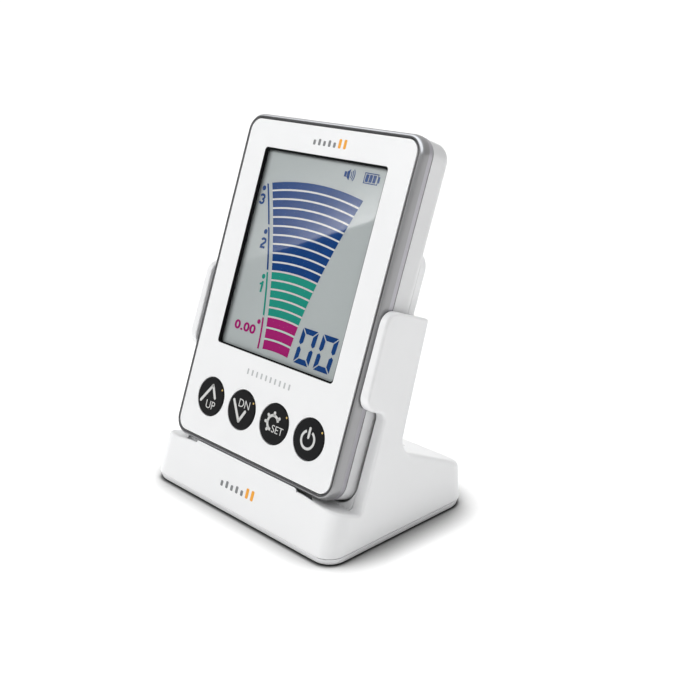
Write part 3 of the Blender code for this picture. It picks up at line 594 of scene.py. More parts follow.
def make_front_panel():
    """The white plate with its window and key holes, the skirt behind it and four screw bosses."""
    window = rectangle(WINDOW_LOW, WINDOW_HIGH, WINDOW_R, 6)
    holes = [circle(BUTTON_R + HOLE_CLEARANCE, x, z) for _, x, z in button_spots()]
    panel = extruded("front_plate", [face_outline(-PANEL_INSET), window, *holes], 0, PANEL_T)

    def front_rim(edge):
        return is_sharp(edge) and all(abs(v.co.y) < NEAR for v in edge.verts)

    round_edges(panel, front_rim, PANEL_EDGE_R, 3)
    skirt = [face_outline(-PANEL_INSET - inset) for inset in (SKIRT_INSET, SKIRT_T)]
    join(panel, extruded("skirt", skirt, PANEL_T / 2, BAND_D - GAP))
    for x, z in screw_spots():
        join(panel, cylinder("boss", BOSS_R, (x, PANEL_T / 2, z), (x, BOSS_BACK, z)))
        cut(panel, cylinder("hole", BOSS_HOLE_R, (x, 2 * PANEL_T, z), (x, THROUGH, z)))
    middle = (WINDOW_LOW + WINDOW_HIGH) / 2
    half = (WINDOW_HIGH - WINDOW_LOW) / 2

    def window_wall(centre, normal):
        near_x = abs(centre.x - middle.x) < half.x + WALL_REACH
        near_z = abs(centre.z - middle.y) < half.y + WALL_REACH
        return near_x and near_z and centre.y < PANEL_T - 1e-5 and abs(normal.y) < 0.5

    settle(panel, "handset", [FACE_WHITE, BLACK], "face_white", ["front_panel"], tilted=False)
    paint(panel, 1, window_wall)
    to_unit(panel)


def make_trim_band():
    """The silver ring: a flat front rim painted dark as shade, a sloping front and a side behind a crease;
    the front and the side take darker and paler copies of the silver, a painted reflection.
    """
    inner = -PANEL_INSET + 2 * RING_SOFT
    profile = [
        (inner, BAND_D), (inner, 3 * RING_SOFT), (inner + RING_SOFT, RIM_BACK / 2),
        (inner + 2 * RING_SOFT, 0), (RIM_OUT, 0),
    ]
    for step in range(1, 8):
        t = math.pi / 2 * step / 7
        profile.append((
            RIM_OUT + (BAND_OUT - RIM_OUT) * math.sin(t), RIM_DROP + SLOPE_D * (1 - math.cos(t)),
        ))
    crease = RIM_DROP + SLOPE_D
    profile += [
        (BAND_OUT, crease + 2 * RING_SOFT), (BAND_OUT - 0.4 * RING_SOFT, crease + 4 * RING_SOFT),
        (BAND_OUT - RING_SOFT, BAND_D - 2 * RING_SOFT), (BAND_OUT - 4 * RING_SOFT, BAND_D),
    ]
    band = lofted("trim_ring", [face_loop(*point) for point in profile], ring=True)
    settle(band, "handset", [SILVER_SIDE_PAINTED_REFLECTION, SILVER_FRONT_PAINTED_SHADE, SILVER_RIM_PAINTED_SHADE], "silver_trim", ["trim_band"], tilted=False)
    # Painted shade: the sloping front takes the darker copy of the silver, the flat front rim the dark one.
    paint(band, 1, lambda centre, normal: centre.y < crease)
    paint(band, 2, lambda centre, normal: centre.y < RIM_BACK)
    to_unit(band)


def make_seam_painted_shade():
    """A thin black band sunk in the seam between the ring and the rear case: painted shade that darkens the
    gap.
    """
    inner, outer = CASE_OUT - 0.0009, CASE_OUT - 0.00012
    front, back = BAND_D + 0.00003, BAND_D + GAP - 0.00003
    corners = [(inner, front), (outer, front), (outer, back), (inner, back)]
    shade_ring = lofted("seam_painted_shade", [face_loop(*corner) for corner in corners], ring=True)
    settle(shade_ring, "handset", BLACK, "black_plastic")


def case_loops(grow, front, back, edge_radius, steps):
    """Loops of a shell with a rounded back rim, front to back."""
    loops = [face_loop(grow, front)]
    for step in range(steps + 1):
        t = math.pi / 2 * step / steps
        loops.append(face_loop(
            grow - edge_radius * (1 - math.cos(t)), back - edge_radius * (1 - math.sin(t))
        ))
    return loops


def door_outline(grow, out, low):
    """Side outline (y, z) of the door, or of its seat when grown."""
    skin = DOOR_T + grow
    top = FACE_H + CASE_OUT
    front = CASE_BACK - CASE_EDGE_R - grow
    inner = [
        (front, top - skin, 0),
        (CASE_BACK - skin, top - skin, CASE_EDGE_R - skin),
        (CASE_BACK - skin, low, 0),
    ]
    outer = [(CASE_BACK + out, low, 0), (CASE_BACK + out, top + out, CASE_EDGE_R if out == 0 else 0)]
    return rounded([*outer, (front, top + out, 0), *inner], 8)


def make_rear_case():
    """The white back shell, with its battery bay, the door's seat, screw seats and holes."""
    case = lofted("rear_shell", case_loops(CASE_OUT, BAND_D + GAP, CASE_BACK, CASE_EDGE_R, 8))
    inside = case_loops(CASE_OUT - CASE_T, 0, CASE_BACK - CASE_T, CASE_EDGE_R - CASE_T, 6)
    cut(case, lofted("hollow", inside))
    top = FACE_H + CASE_OUT - CASE_T / 2
    tray = box(
        "tray", (-TRAY_W / 2, TRAY_FRONT, TRAY_Z),
        (TRAY_W / 2, CASE_BACK - CASE_T / 2, top - CASE_EDGE_R / 2),
    )
    tray_end = box(
        "tray_end", (-TRAY_W / 2 + GAP, TRAY_FRONT + GAP, top - CASE_EDGE_R),
        (TRAY_W / 2 - GAP, CASE_BACK - CASE_EDGE_R, top),
    )
    join(case, tray, tray_end)
    half = DOOR_W / 2 + DOOR_ROOM
    seat = extruded("seat", [door_outline(DOOR_ROOM, 0.003, DOOR_Z - DOOR_ROOM)], -half, half, SIDE_ON)
    bay = box("bay", (-BAY_W / 2, BAY_FRONT, BAY_Z), (BAY_W / 2, THROUGH, BAY_Z + BAY_H))
    slot = box(
        "slot", (-CONTACT_HALF_W, BAY_FRONT - 0.002, TRAY_Z - 0.001),
        (CONTACT_HALF_W, CONTACT_BACK, BAY_Z + 0.001),
    )
    cut(case, seat, bay, slot)

    def drill(radius, x, z, front=CASE_HOLE_FRONT, steps=32):
        cut(case, cylinder("hole", radius, (x, front, z), (x, THROUGH, z), steps))

    for x, z in screw_spots():
        drill(SCREW_HOLE_R, x, z)
        drill(SCREW_SEAT_R, x, z, CASE_BACK - SCREW_SEAT_T)
    for step in range(SOUND_HOLES + 1):
        turn = 2 * math.pi * step / SOUND_HOLES
        away = SOUND_RING_R if step < SOUND_HOLES else 0.0
        x, z = BUZZER_AT[0] + away * math.cos(turn), BUZZER_AT[1] + away * math.sin(turn)
        drill(SOUND_HOLE_R, x, z, steps=20)
    inner, outer = (-0.028, SOCKET_Y, SOCKET_Z), (-0.05, SOCKET_Y, SOCKET_Z)
    cut(case, cylinder("socket_hole", SOCKET_COLLAR_R + 0.0001, inner, outer))
    settle(case, "handset", CASE_WHITE, "white_plastic", ["rear_case"])


def make_battery_door():
    """The sliding cover, with grip grooves and an arrow cut into its back."""
    outline = door_outline(0, 0, DOOR_Z)
    door = extruded("door_shell", [outline], -DOOR_W / 2, DOOR_W / 2, SIDE_ON)

    def outside(edge):
        return is_sharp(edge) and all(
            v.co.y > CASE_BACK - 1e-5 or v.co.z > FACE_H + CASE_OUT - 1e-5 for v in edge.verts
        )

    round_edges(door, outside, DOOR_EDGE_R, 2)

    def engrave(name, shape):
        cut(door, extruded(name, [shape], CASE_BACK - ENGRAVED, CASE_BACK + 0.001))

    for step in range(GROOVES):
        z = GROOVE_Z - GROOVE_PITCH * step
        engrave("groove", rectangle((-GROOVE_HALF_W, z), (GROOVE_HALF_W, z + GROOVE_H), 0.00038, 6))
    tip, wing, rise = FACE_H - 0.0190, 0.0020, 0.0030
    engrave("arrow", rounded([
        (-wing, tip - rise, 0.0003), (wing, tip - rise, 0.0003), (0, tip, 0.0003),
    ], 4))
    settle(door, "door", CASE_WHITE, "white_plastic", ["battery_door"])


def screen_rectangle(inset, radius):
    return rectangle(
        (WINDOW_LOW.x + inset, WINDOW_LOW.y + inset), (WINDOW_HIGH.x - inset, WINDOW_HIGH.y - inset),
        radius, 6,
    )


def make_display():
    clear = rectangle(
        (WINDOW_LOW.x + MASK_W, WINDOW_LOW.y + MASK_W),
        (WINDOW_HIGH.x - MASK_W, WINDOW_HIGH.y - MASK_TOP_W), WINDOW_R, 6,
    )
    mask = extruded(
        "window_mask", [screen_rectangle(0.00003, WINDOW_R), clear], MASK_FRONT, LENS_FRONT - 0.00001
    )
    settle(mask, "handset", MASK_BLACK, "black_plastic")
    lens = extruded("window_pane", [screen_rectangle(0.00005, WINDOW_R)], LENS_FRONT, LENS_BACK)
    settle(lens, "handset", LENS, "clear_window", ["window_lens"])
    gasket_low, gasket_high = unit_extent("lcd_gasket")
    gasket = extruded(
        "screen_gasket",
        [
            rectangle((gasket_low.x, gasket_low.z), (gasket_high.x, gasket_high.z), 0.0004, 6),
            screen_rectangle(0.0002, WINDOW_R),
        ],
        PANEL_T + 0.0001, gasket_high.y,
    )
    settle(gasket, "handset", BLACK, "black_plastic", ["lcd_gasket"])
    low, high = unit_extent("lcd_glass")
    raised = screen_rectangle(0.00035, WINDOW_R)
    full = rectangle((low.x, low.z), (high.x, high.z), WINDOW_R, 6)
    glass = lofted("lcd_panel", [
        [(a, SCREEN_Y, b) for a, b in raised], [(a, low.y, b) for a, b in raised],
        [(a, low.y, b) for a, b in full], [(a, high.y, b) for a, b in full],
    ])
    settle(glass, "handset", SCREEN, "lcd_grey", ["lcd_glass"])


# ---- what the display shows ----


def fan_half(z):
    """Half width of the flared fan at a height."""
    return FAN_LOW_HALF + FAN_FLARE * (max(0.0, z - FAN_LOW_Z) / FAN_SPAN) ** FAN_POWER


def on_arc(radius, share):
    """A point on one of the fan's arcs: share -1 is the left side, 1 the right side."""
    across = fan_half(FAN_CENTRE_Z + radius)
    for _ in range(6):
        across = fan_half(FAN_CENTRE_Z + math.sqrt(radius * radius - across * across))
    x = across * share
    return FAN_X + x, FAN_CENTRE_Z + math.sqrt(radius * radius - x * x)


def bar_outline(top, thickness, steps=24):
    shares = [2 * step / steps - 1 for step in range(steps + 1)]
    outer, inner = top - FAN_CENTRE_Z, top - thickness - FAN_CENTRE_Z
    return [on_arc(outer, s) for s in shares] + [on_arc(inner, s) for s in reversed(shares)]


def stroke(points, width, steps=8):
    """Outlines of a line with round ends through points: one capsule per piece."""
    outlines = []
    for (ax, az), (bx, bz) in zip(points, points[1:]):
        turn = math.atan2(bz - az, bx - ax)
        outline = []
        for (x, z), start in (((bx, bz), turn - math.pi / 2), ((ax, az), turn + math.pi / 2)):
            for step in range(steps + 1):
                t = start + math.pi * step / steps
                outline.append((x + width / 2 * math.cos(t), z + width / 2 * math.sin(t)))
        outlines.append(outline)
    return outlines


def ring_part(x, z, outer, inner, start, end, steps=40):
    """A piece of a flat ring between two angles in degrees."""
    angles = [math.radians(start + (end - start) * step / steps) for step in range(steps + 1)]
    points = [(x + outer * math.cos(t), z + outer * math.sin(t)) for t in angles]
    return points + [(x + inner * math.cos(t), z + inner * math.sin(t)) for t in reversed(angles)]


def flat_shapes(name, outlines, y, thickness=LAYER, scale=1.0):
    """Thin prints from separate outlines, in one mesh, whose front lies at y."""
    model = bmesh.new()
    for outline in outlines:
        points = [Vector((a * scale, 0, b * scale)) for a, b in outline]
        front = [model.verts.new((p.x, y, p.z)) for p in points]
        back = [model.verts.new((p.x, y + thickness, p.z)) for p in points]
        model.faces.new(front)
        model.faces.new(reversed(back))
        for k in range(len(points)):
            n = (k + 1) % len(points)
            model.faces.new((front[n], front[k], back[k], back[n]))
    bmesh.ops.recalc_face_normals(model, faces=model.faces)
    return modelled(name, model)


def lettering(name, text, x, z, height, y, stretch=1.0, weight=0.0, thickness=LAYER):
    """Plain lettering centred on (x, z), its capitals this high."""
    curve = bpy.data.curves.new(name, "FONT")
    curve.body = text
    curve.align_x = "CENTER"
    curve.align_y = "CENTER"
    curve.size = 1.0
    curve.offset = weight
    curve.space_character = 1.0 + 2 * weight
    helper = new_object(name, curve)
    mesh = evaluated_mesh(helper)
    bpy.data.objects.remove(helper)
    bpy.data.curves.remove(curve)
    lows = [min(v.co[k] for v in mesh.vertices) for k in range(2)]
    highs = [max(v.co[k] for v in mesh.vertices) for k in range(2)]
    size = height / (highs[1] - lows[1])
    middle = [(lows[k] + highs[k]) / 2 for k in range(2)]
    for vertex in mesh.vertices:
        across, up = (vertex.co[k] - middle[k] for k in range(2))
        vertex.co = (x + across * size * stretch, y, z + up * size)
    model = bmesh.new()
    model.from_mesh(mesh)
    bmesh.ops.remove_doubles(model, verts=model.verts, dist=WELD)
    made = bmesh.ops.extrude_face_region(model, geom=model.faces[:])
    moved = [item for item in made["geom"] if isinstance(item, bmesh.types.BMVert)]
    bmesh.ops.translate(model, vec=(0, thickness, 0), verts=moved)
    bmesh.ops.recalc_face_normals(model, faces=model.faces)
    model.to_mesh(mesh)
    model.free()
    return new_object(name, mesh)


def ribbon(path, width):
    """Outline of a line of even width along a path, its ends square."""
    left, right = [], []
    for k, point in enumerate(path):
        before, after = Vector(path[max(k - 1, 0)]), Vector(path[min(k + 1, len(path) - 1)])
        along = (after - before).normalized()
        side = Vector((-along.y, along.x)) * width / 2
        left.append(Vector(point) + side)
        right.append(Vector(point) - side)
    return [tuple(point) for point in left + right[::-1]]


def bowl(x, z, start, end, steps=20):
    """Points along a digit's round part between two angles in degrees."""
    angles = [math.radians(start + (end - start) * step / steps) for step in range(steps + 1)]
    return [(x + DIGIT_RX * math.cos(t), z + DIGIT_RZ * math.sin(t)) for t in angles]


def digit_three(x, z):
    return [
        ribbon(bowl(x, z + DIGIT_RZ, 165, -90), DIGIT_STROKE),
        ribbon(bowl(x, z - DIGIT_RZ, 90, -165), DIGIT_STROKE),
    ]


def digit_two(x, z):
    foot = z - 2 * DIGIT_RZ
    hook = bowl(x, z + DIGIT_RZ, 165, -38)
    return [
        ribbon([*hook, (x - DIGIT_RX, foot + DIGIT_STROKE / 2)], DIGIT_STROKE),
        ribbon([(x - DIGIT_RX * 1.25, foot), (x + DIGIT_RX * 1.25, foot)], DIGIT_STROKE),
    ]


def digit_one(x, z):
    half = 2 * DIGIT_RZ + DIGIT_STROKE / 2
    return [
        ribbon([(x + 0.004, z - half), (x + 0.004, z + half)], DIGIT_STROKE * 1.15),
        ribbon([(x - 0.012, z + half - 0.015), (x + 0.004, z + half - 0.007)], DIGIT_STROKE * 0.85),
    ]


def seven_segment_zero(x, z):
    """The six lit segments of a leaning 0 whose lower left corner is at (x, z)."""
    wide, high, thick, gap, lean = 0.093, 0.151, 0.023, 0.004, 0.085
    half = high / 2
    top = [(gap, high), (wide - gap, high), (wide - gap - thick, high - thick), (gap + thick, high - thick)]
    bottom = [(a, high - b) for a, b in reversed(top)]
    upper = [(0, high - gap), (thick, high - gap - thick), (thick, half + gap + thick / 2), (0, half + gap)]
    upper[3:] = [(thick / 2, half + gap), (0, half + gap + thick / 3)]
    lower = [(a, high - b) for a, b in reversed(upper)]
    shapes = [top, bottom, upper, lower]
    shapes += [[(wide - a, b) for a, b in reversed(shape)] for shape in (upper, lower)]
    return [[(x + a + lean * b, z + b) for a, b in shape] for shape in shapes]


def screen_print(name, outlines, material, layer=2):
    shapes = flat_shapes(name, outlines, SCREEN_Y - layer * 0.00002, scale=FACE_W)
    settle(shapes, "handset", material, "lcd_grey", weighted=False)


def screen_text(name, text, x, z, height, material, stretch=1.0, weight=0.03):
    shapes = lettering(
        name, text, x * FACE_W, z * FACE_W, height * FACE_W, SCREEN_Y - 0.00004, stretch, weight
    )
    settle(shapes, "handset", material, "lcd_grey", weighted=False)


def scale_line(top, bottom, steps=6):
    heights = [top + (bottom - top) * step / steps for step in range(steps + 1)]
    half = SCALE_LINE / 2
    places = [(FAN_X - fan_half(z) - SCALE_AWAY, z) for z in heights]
    return [(x - half, z) for x, z in places] + [(x + half, z) for x, z in reversed(places)]


def plain(left, low, right, high):
    """A square-cornered rectangle's outline."""
    return [(left, low), (right, low), (right, high), (left, high)]


def battery_icon(left, low, right, top):
    """A thin frame, the cell's end cap and three leaning charge bars."""
    line, inset = ICON_LINE, 0.007
    shapes = [
        plain(left, low, right, low + line), plain(left, top - line, right, top),
        plain(left, low, left + line, top), plain(right, low, right + line, top),
        plain(right + line, low + 0.010, right + 0.012, top - 0.010),
    ]
    for k in range(3):
        x = left + 0.0075 + 0.0205 * k
        shapes.append([
            (x, low + inset), (x + 0.0165, low + inset), (x + 0.0185, top - inset), (x + 0.002, top - inset),
        ])
    return shapes


def make_screen_graphics():
    bars = [bar_outline(FAN_TOP - BAR_PITCH * k, BAR_T) for k in range(15)]
    roots = [bar_outline(ROOT_TOP - ROOT_PITCH * k, ROOT_T) for k in range(3)]
    gaps = [bar_outline(FAN_TOP - BAR_PITCH * k - BAR_T, BAR_PITCH - BAR_T) for k in range(15)]
    root_gaps = [bar_outline(ROOT_TOP - ROOT_PITCH * k - ROOT_T, ROOT_PITCH - ROOT_T) for k in range(2)]
    screen_print("gaps_light", gaps[:9], GAP_LIGHT)
    screen_print("gaps_rose", gaps[9:], GAP_ROSE)
    screen_print("gaps_green", root_gaps, GAP_GREEN)
    screen_print("bars_blue", bars[:10], BLUE)
    screen_print("bars_green", bars[10:], GREEN)
    screen_print("bars_magenta", roots, MAGENTA)
    screen_print("scale_blue", [
        scale_line(1.167, 0.995), scale_line(0.983, 0.805),
        circle(0.011, -0.329, 1.145, 24), circle(0.011, -0.252, 0.962, 24),
    ], BLUE)
    screen_print("scale_green", [scale_line(0.795, 0.613), circle(0.011, -0.195, 0.773, 24)], GREEN)
    screen_print("scale_magenta", [scale_line(0.603, 0.468), circle(0.0105, -0.154, 0.580, 24)], MAGENTA)
    screen_print("digit_three", digit_three(-0.325, 1.097), BLUE, 3)
    screen_print("digit_two", digit_two(-0.250, 0.912), BLUE, 3)
    screen_print("digit_one", digit_one(-0.195, 0.728), GREEN, 3)
    screen_text("digits_zero", "0.00", -0.232, 0.540, 0.041, MAGENTA, 1.42, 0.04)
    screen_print("digits_large", seven_segment_zero(0.104, 0.467) + seven_segment_zero(0.223, 0.467), BLUE)
    speaker = [plain(0.124, 1.256, 0.137, 1.278)]
    speaker += [[(0.139, 1.256), (0.155, 1.243), (0.155, 1.290), (0.139, 1.278)]]
    speaker += [ring_part(0.145, 1.267, r + 0.004, r, -38, 38, 12) for r in (0.018, 0.027, 0.036)]
    screen_print("icon_sound", speaker, BLUE)
    screen_print("icon_battery", battery_icon(0.236, 1.243, 0.310, 1.288), BLUE)


# ---- keys ----

def make_keys():
    for name, x, z in button_spots():
        high = unit_extent(name)[1]
        profile = [(0, KEY_FRONT), (BUTTON_R - 0.0007, KEY_FRONT)]
        for step in range(1, 7):
            t = math.pi / 2 * step / 6
            profile.append((
                BUTTON_R - KEY_EDGE_R * (1 - math.sin(t)), KEY_FRONT + KEY_EDGE_R * (1 - math.cos(t)),
            ))
        flange = high.x - x
        profile += [(BUTTON_R, KEY_FLANGE_FRONT), (flange, KEY_FLANGE_FRONT), (flange, high.y), (0, high.y)]
        cap = turned(name.replace("button", "keycap"), profile, (x, 0, z))
        body = name.replace("button", "key")
        settle(cap, body, KEY_BLACK, "key_black", [name])


def key_print(name, body, outlines, at, material=None):
    """Flat legend on a key; outlines are shares of the face's width about the key's middle."""
    x, z = at[0] / FACE_W, at[1] / FACE_W
    moved = [[(x + a, z + b) for a, b in outline] for outline in outlines]
    shapes = flat_shapes(name, moved, KEY_FRONT - 0.00002, scale=FACE_W)
    settle(shapes, body, material or LEGEND, "key_black", weighted=False)


def gear_symbol():
    """An open ring with five teeth."""
    x, z = GEAR_AT
    gear = [ring_part(x, z, 0.037, 0.025, 18, 262)]
    for angle in GEAR_TEETH:
        t = math.radians(angle)
        gear += stroke([(x + r * math.cos(t), z + r * math.sin(t)) for r in GEAR_TOOTH], LEGEND_T)
    return gear


def power_symbol():
    """A ring open at the top, with a short upright bar in the opening."""
    x, z = POWER_AT
    return [ring_part(x, z, 0.042, 0.031, 116, 424)] + stroke([(x, 0.007), (x, 0.045)], 0.012)


def make_key_legends():
    """A symbol and a pale dot on each key, and a word beside three of the symbols."""
    symbols = {
        "up": stroke([(-0.057, -0.030), (0.002, 0.051), (0.031, 0.000)], LEGEND_T),
        "down": stroke([(-0.056, 0.030), (0.001, -0.051), (0.028, -0.002)], LEGEND_T),
        "set": gear_symbol(),
        "power": power_symbol(),
    }
    spots = [(name.replace("button_", ""), x, z) for name, x, z in button_spots()]
    for key, x, z in spots:
        key_print("legend_" + key, "key_" + key, symbols[key], (x, z))
    for (key, x, z), (text, across, up, tall) in zip(spots, WORDS):
        word = lettering(
            f"legend_{key}_word", text, x + across * FACE_W, z + up * FACE_W, tall * FACE_W,
            KEY_FRONT - WORD_PROUD, weight=WORD_WEIGHT,
        )
        settle(word, "key_" + key, LEGEND, "key_black", weighted=False)
    for key, x, z in spots:
        key_print("dot_" + key, "key_" + key, [circle(*DOT, 16)], (x, z), AMBER)


# ---- cradle ----


def meet(point, direction, other, other_direction):
    """Where two straight lines in the side view cross."""
    delta = Vector(other) - Vector(point)
    cross = direction[0] * other_direction[1] - direction[1] * other_direction[0]
    along = (delta.x * other_direction[1] - delta.y * other_direction[0]) / cross
    return point[0] + along * direction[0], point[1] + along * direction[1]


def down_face_to(height):
    """(y, z) where the plane of the face reaches a height."""
    start = UNIT @ Vector((0, 0, 0))
    return start.y + (height - start.z) * math.tan(TILT), height


def back_corner():
    """Where the upright's back face meets the foot's sloping top, before the fillet."""
    upper, lower = (in_world(*spot) for spot in UPRIGHT_BACK)
    return meet(upper, (lower[0] - upper[0], lower[1] - upper[1]), FOOT_FRONT_YZ, (1, FOOT_SLOPE))


def foot_top(y):
    return FOOT_FRONT_YZ[1] + FOOT_SLOPE * (y - FOOT_FRONT_YZ[0])


def side_outline():
    """The cradle's outline (y, z) seen from its side, arms included."""
    return rounded([
        (*down_face_to(SEAM_Z), 0),
        (*in_world(LEDGE_SIDE_Z, 0), 0),
        (*in_world(LEDGE_SIDE_Z, SIDE_FRONT_Y), LEDGE_R),
        (*in_world(ARM_Z[0], SIDE_FRONT_Y), ARM_NOTCH_R),
        (*in_world(ARM_Z[0], 0), ARM_R),
        (*in_world(ARM_Z[1], 0), ARM_R),
        (*in_world(ARM_Z[1], UPRIGHT_BACK[0][1]), 0),
        (*back_corner(), FOOT_FILLET_R),
        (BASE_TOP_BACK_Y, foot_top(BASE_TOP_BACK_Y), 0),
        (BASE_BACK_Y, SEAM_Z, 0),
    ], 10)


def draft_sides(obj):
    for vertex in obj.data.vertices:
        vertex.co.x *= (BASE_HALF_W - SIDE_DRAFT * vertex.co.z) / BASE_HALF_W


def on_front_plane(point):
    return abs(point.y - down_face_to(point.z)[0]) < 1e-5


def on_rear_wall(point):
    lean = (BASE_TOP_BACK_Y - BASE_BACK_Y) / (foot_top(BASE_TOP_BACK_Y) - SEAM_Z)
    return abs(point.y - BASE_BACK_Y - lean * (point.z - SEAM_Z)) < 1e-4


def hollow_outline():
    """The hollow under the cradle: the same outline, one wall further in."""
    ceiling = LEDGE_SIDE_Z - WALL
    ceiling_back = in_world(ceiling, POCKET_BACK_Y + WALL)
    rear_top = BASE_TOP_BACK_Y - WALL
    drop = WALL * math.hypot(1, FOOT_SLOPE)
    return [
        (down_face_to(0)[0] + WALL / math.cos(TILT), 0),
        in_world(ceiling, WALL),
        ceiling_back,
        meet(ceiling_back, (LIFT.y, LIFT.z), (0, foot_top(0) - drop), (1, FOOT_SLOPE)),
        (rear_top, foot_top(rear_top) - drop),
        (BASE_BACK_Y - WALL, 0),
    ]


def make_sill():
    """The front wall's top under the unit: level in the middle, falling away towards both sides."""
    top = []
    for step in range(13):
        share = step / 12
        fall = (1 - math.cos(math.pi * share)) / 2
        z = LEDGE_SIDE_Z - 0.0001 + (LEDGE_Z - LEDGE_SIDE_Z + 0.0001) * fall
        top.append((-SILL_END + (SILL_END - SILL_FLAT) * share, z))
    top += [(-x, z) for x, z in reversed(top)]
    outline = [(SILL_END, -SILL_DEEP), (-SILL_END, -SILL_DEEP), *top]
    sill = extruded("sill", [outline], 0, POCKET_BACK_Y + 0.0005)

    def front_edge(edge):
        return is_sharp(edge) and all(abs(v.co.y) < NEAR and v.co.z > -0.003 for v in edge.verts)

    round_edges(sill, front_edge, SILL_EDGE_R, 4)
    return sill


def make_lip():
    """The low ridge along the front edge that hides the gap under the unit."""
    left, right = LIP_SPAN
    outline = rounded([
        (left - LIP_T, LEDGE_Z - 0.002, 0), (right + LIP_T, LEDGE_Z - 0.002, 0),
        (right, LIP_Z, LIP_R), (left, LIP_Z, LIP_R),
    ], 6)
    lip = extruded("lip", [outline], 0, LIP_T)
    for vertex in lip.data.vertices:
        if vertex.co.y > LIP_T / 2 and vertex.co.z > LEDGE_Z - 0.001:
            vertex.co.z = LEDGE_Z - 0.0001
    return lip


def outer_edge_radius(edge):
    """Small along the front and the upright, growing down the fillet to the foot."""
    if not is_sharp(edge, 30) or all(v.co.z < SEAM_Z + 1e-4 for v in edge.verts):
        return 0
    arm_back = in_world(ARM_Z[1], UPRIGHT_BACK[0][1])
    behind = [v.co.y - meet(arm_back, (LIFT.y, LIFT.z), (0, v.co.z), (1, 0))[0] for v in edge.verts]
    if min(behind) < -0.0004:
        return FRONT_EDGE_R
    height = (edge.verts[0].co.z + edge.verts[1].co.z) / 2 - back_corner()[1]
    share = min(1.0, max(0.0, (FOOT_FILLET_R - height) / (1.4 * FOOT_FILLET_R)))
    return UPRIGHT_EDGE_R + (FOOT_EDGE_R - UPRIGHT_EDGE_R) * share


def cut_pocket(body):
    """Makes room for the unit: square in front, rounded like its case behind the side walls' edges."""
    low, high = (-POCKET_HALF_W, -0.020, LEDGE_SIDE_Z), (POCKET_HALF_W, SIDE_FRONT_Y, POCKET_TOP)
    around_case = rectangle(
        (-POCKET_HALF_W, LEDGE_Z - POCKET_STEP), (POCKET_HALF_W, POCKET_TOP), POCKET_R
    )
    rear = extruded("pocket_rear", [around_case], SIDE_FRONT_Y - 0.001, POCKET_BACK_Y)
    cut(body, box("pocket_front", low, high), rear)

    def rim(edge):
        on_wall = all(abs(abs(v.co.x) - POCKET_HALF_W) < NEAR for v in edge.verts)
        on_step = all(
            abs(v.co.y - SIDE_FRONT_Y) < NEAR and abs(v.co.x) < POCKET_HALF_W + NEAR for v in edge.verts
        )
        above = all(v.co.z > LEDGE_SIDE_Z + 0.0003 for v in edge.verts)
        return is_sharp(edge) and (on_wall or on_step) and above

    round_edges(body, rim, INNER_EDGE_R, 3)


def make_plate():
    """The back plate that rises behind the unit."""
    outline = rectangle((-PLATE_HALF_W, ARM_Z[1] - PLATE_ROOT), (PLATE_HALF_W, PLATE_TOP_Z), PLATE_R)
    plate = extruded("plate", [outline], POCKET_BACK_Y, UPRIGHT_BACK[0][1])

    def rim(edge):
        return is_sharp(edge) and any(v.co.z > ARM_Z[1] for v in edge.verts)

    round_edges(plate, rim, INNER_EDGE_R, 3)
    return plate


def cut_slots(body):
    """The dark openings at both ends of the lip, slanting back to the left."""
    away = SLOT_BACK - SLOT_FRONT
    for left, right in SLOTS:
        outline = [
            (left, SLOT_FRONT), (right, SLOT_FRONT), (right - away, SLOT_BACK), (left - away, SLOT_BACK),
        ]
        cut(body, extruded("slot", [outline], LEDGE_Z - SLOT_DEEP, LEDGE_Z + 0.001, FLAT))


def make_cradle_body():
    """The one-piece moulding: its rounded outside first, then the pocket, back plate and hollow."""
    body = extruded("cradle_shell", [side_outline()], -BASE_HALF_W, BASE_HALF_W, SIDE_ON)
    low_enough = in_world(LEDGE_SIDE_Z, 0)[1] + 1e-4

    def along_side(edge):
        p, q = (v.co for v in edge.verts)
        return abs(p.x - q.x) < NEAR

    def front_corner(edge):
        return along_side(edge) and all(
            on_front_plane(v.co) and v.co.z < low_enough for v in edge.verts
        )

    def rear_corner(edge):
        return along_side(edge) and all(on_rear_wall(v.co) for v in edge.verts)

    round_edges(body, front_corner, FRONT_CORNER_R, 12)
    round_edges(body, rear_corner, REAR_CORNER_R, 12)
    draft_sides(body)
    round_edges_by(body, outer_edge_radius, FOOT_EDGE_R, 6)
    body.data.transform(UNIT.inverted())
    cut_pocket(body)
    join(body, make_plate(), make_sill(), make_lip())
    cut_slots(body)
    body.data.transform(UNIT)
    inside = BASE_HALF_W - HOLLOW_SIDE
    cut(body, extruded("hollow", [hollow_outline()], -inside, inside, SIDE_ON))
    for number in range(1, 5):
        low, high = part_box(f"base_screw_{number}")
        x, y = (low.x + high.x) / 2, (low.y + high.y) / 2
        top = BOSS_TOP if y < 0 else foot_top(y) - BASE_BOSS_SKIN
        join(body, cylinder("boss", BASE_BOSS_R, (x, y, SEAM_Z + 0.0001), (x, y, top)))
        cut(body, cylinder("hole", BASE_HOLE_R, (x, y, 0), (x, y, high.z + 0.0002)))
    settle(body, "cradle", SHELL_WHITE, "white_plastic", ["cradle_body"], tilted=False)


def base_loop(inset, z):
    """The base's rounded outline at a height."""
    front = down_face_to(SEAM_Z)[0] + inset
    half, back = BASE_HALF_W - inset, BASE_BACK_Y - inset
    corners = [
        (-half, front, FRONT_CORNER_R), (half, front, FRONT_CORNER_R),
        (half, back, REAR_CORNER_R), (-half, back, REAR_CORNER_R),
    ]
    return [(x, y, z) for x, y in rounded(corners)]


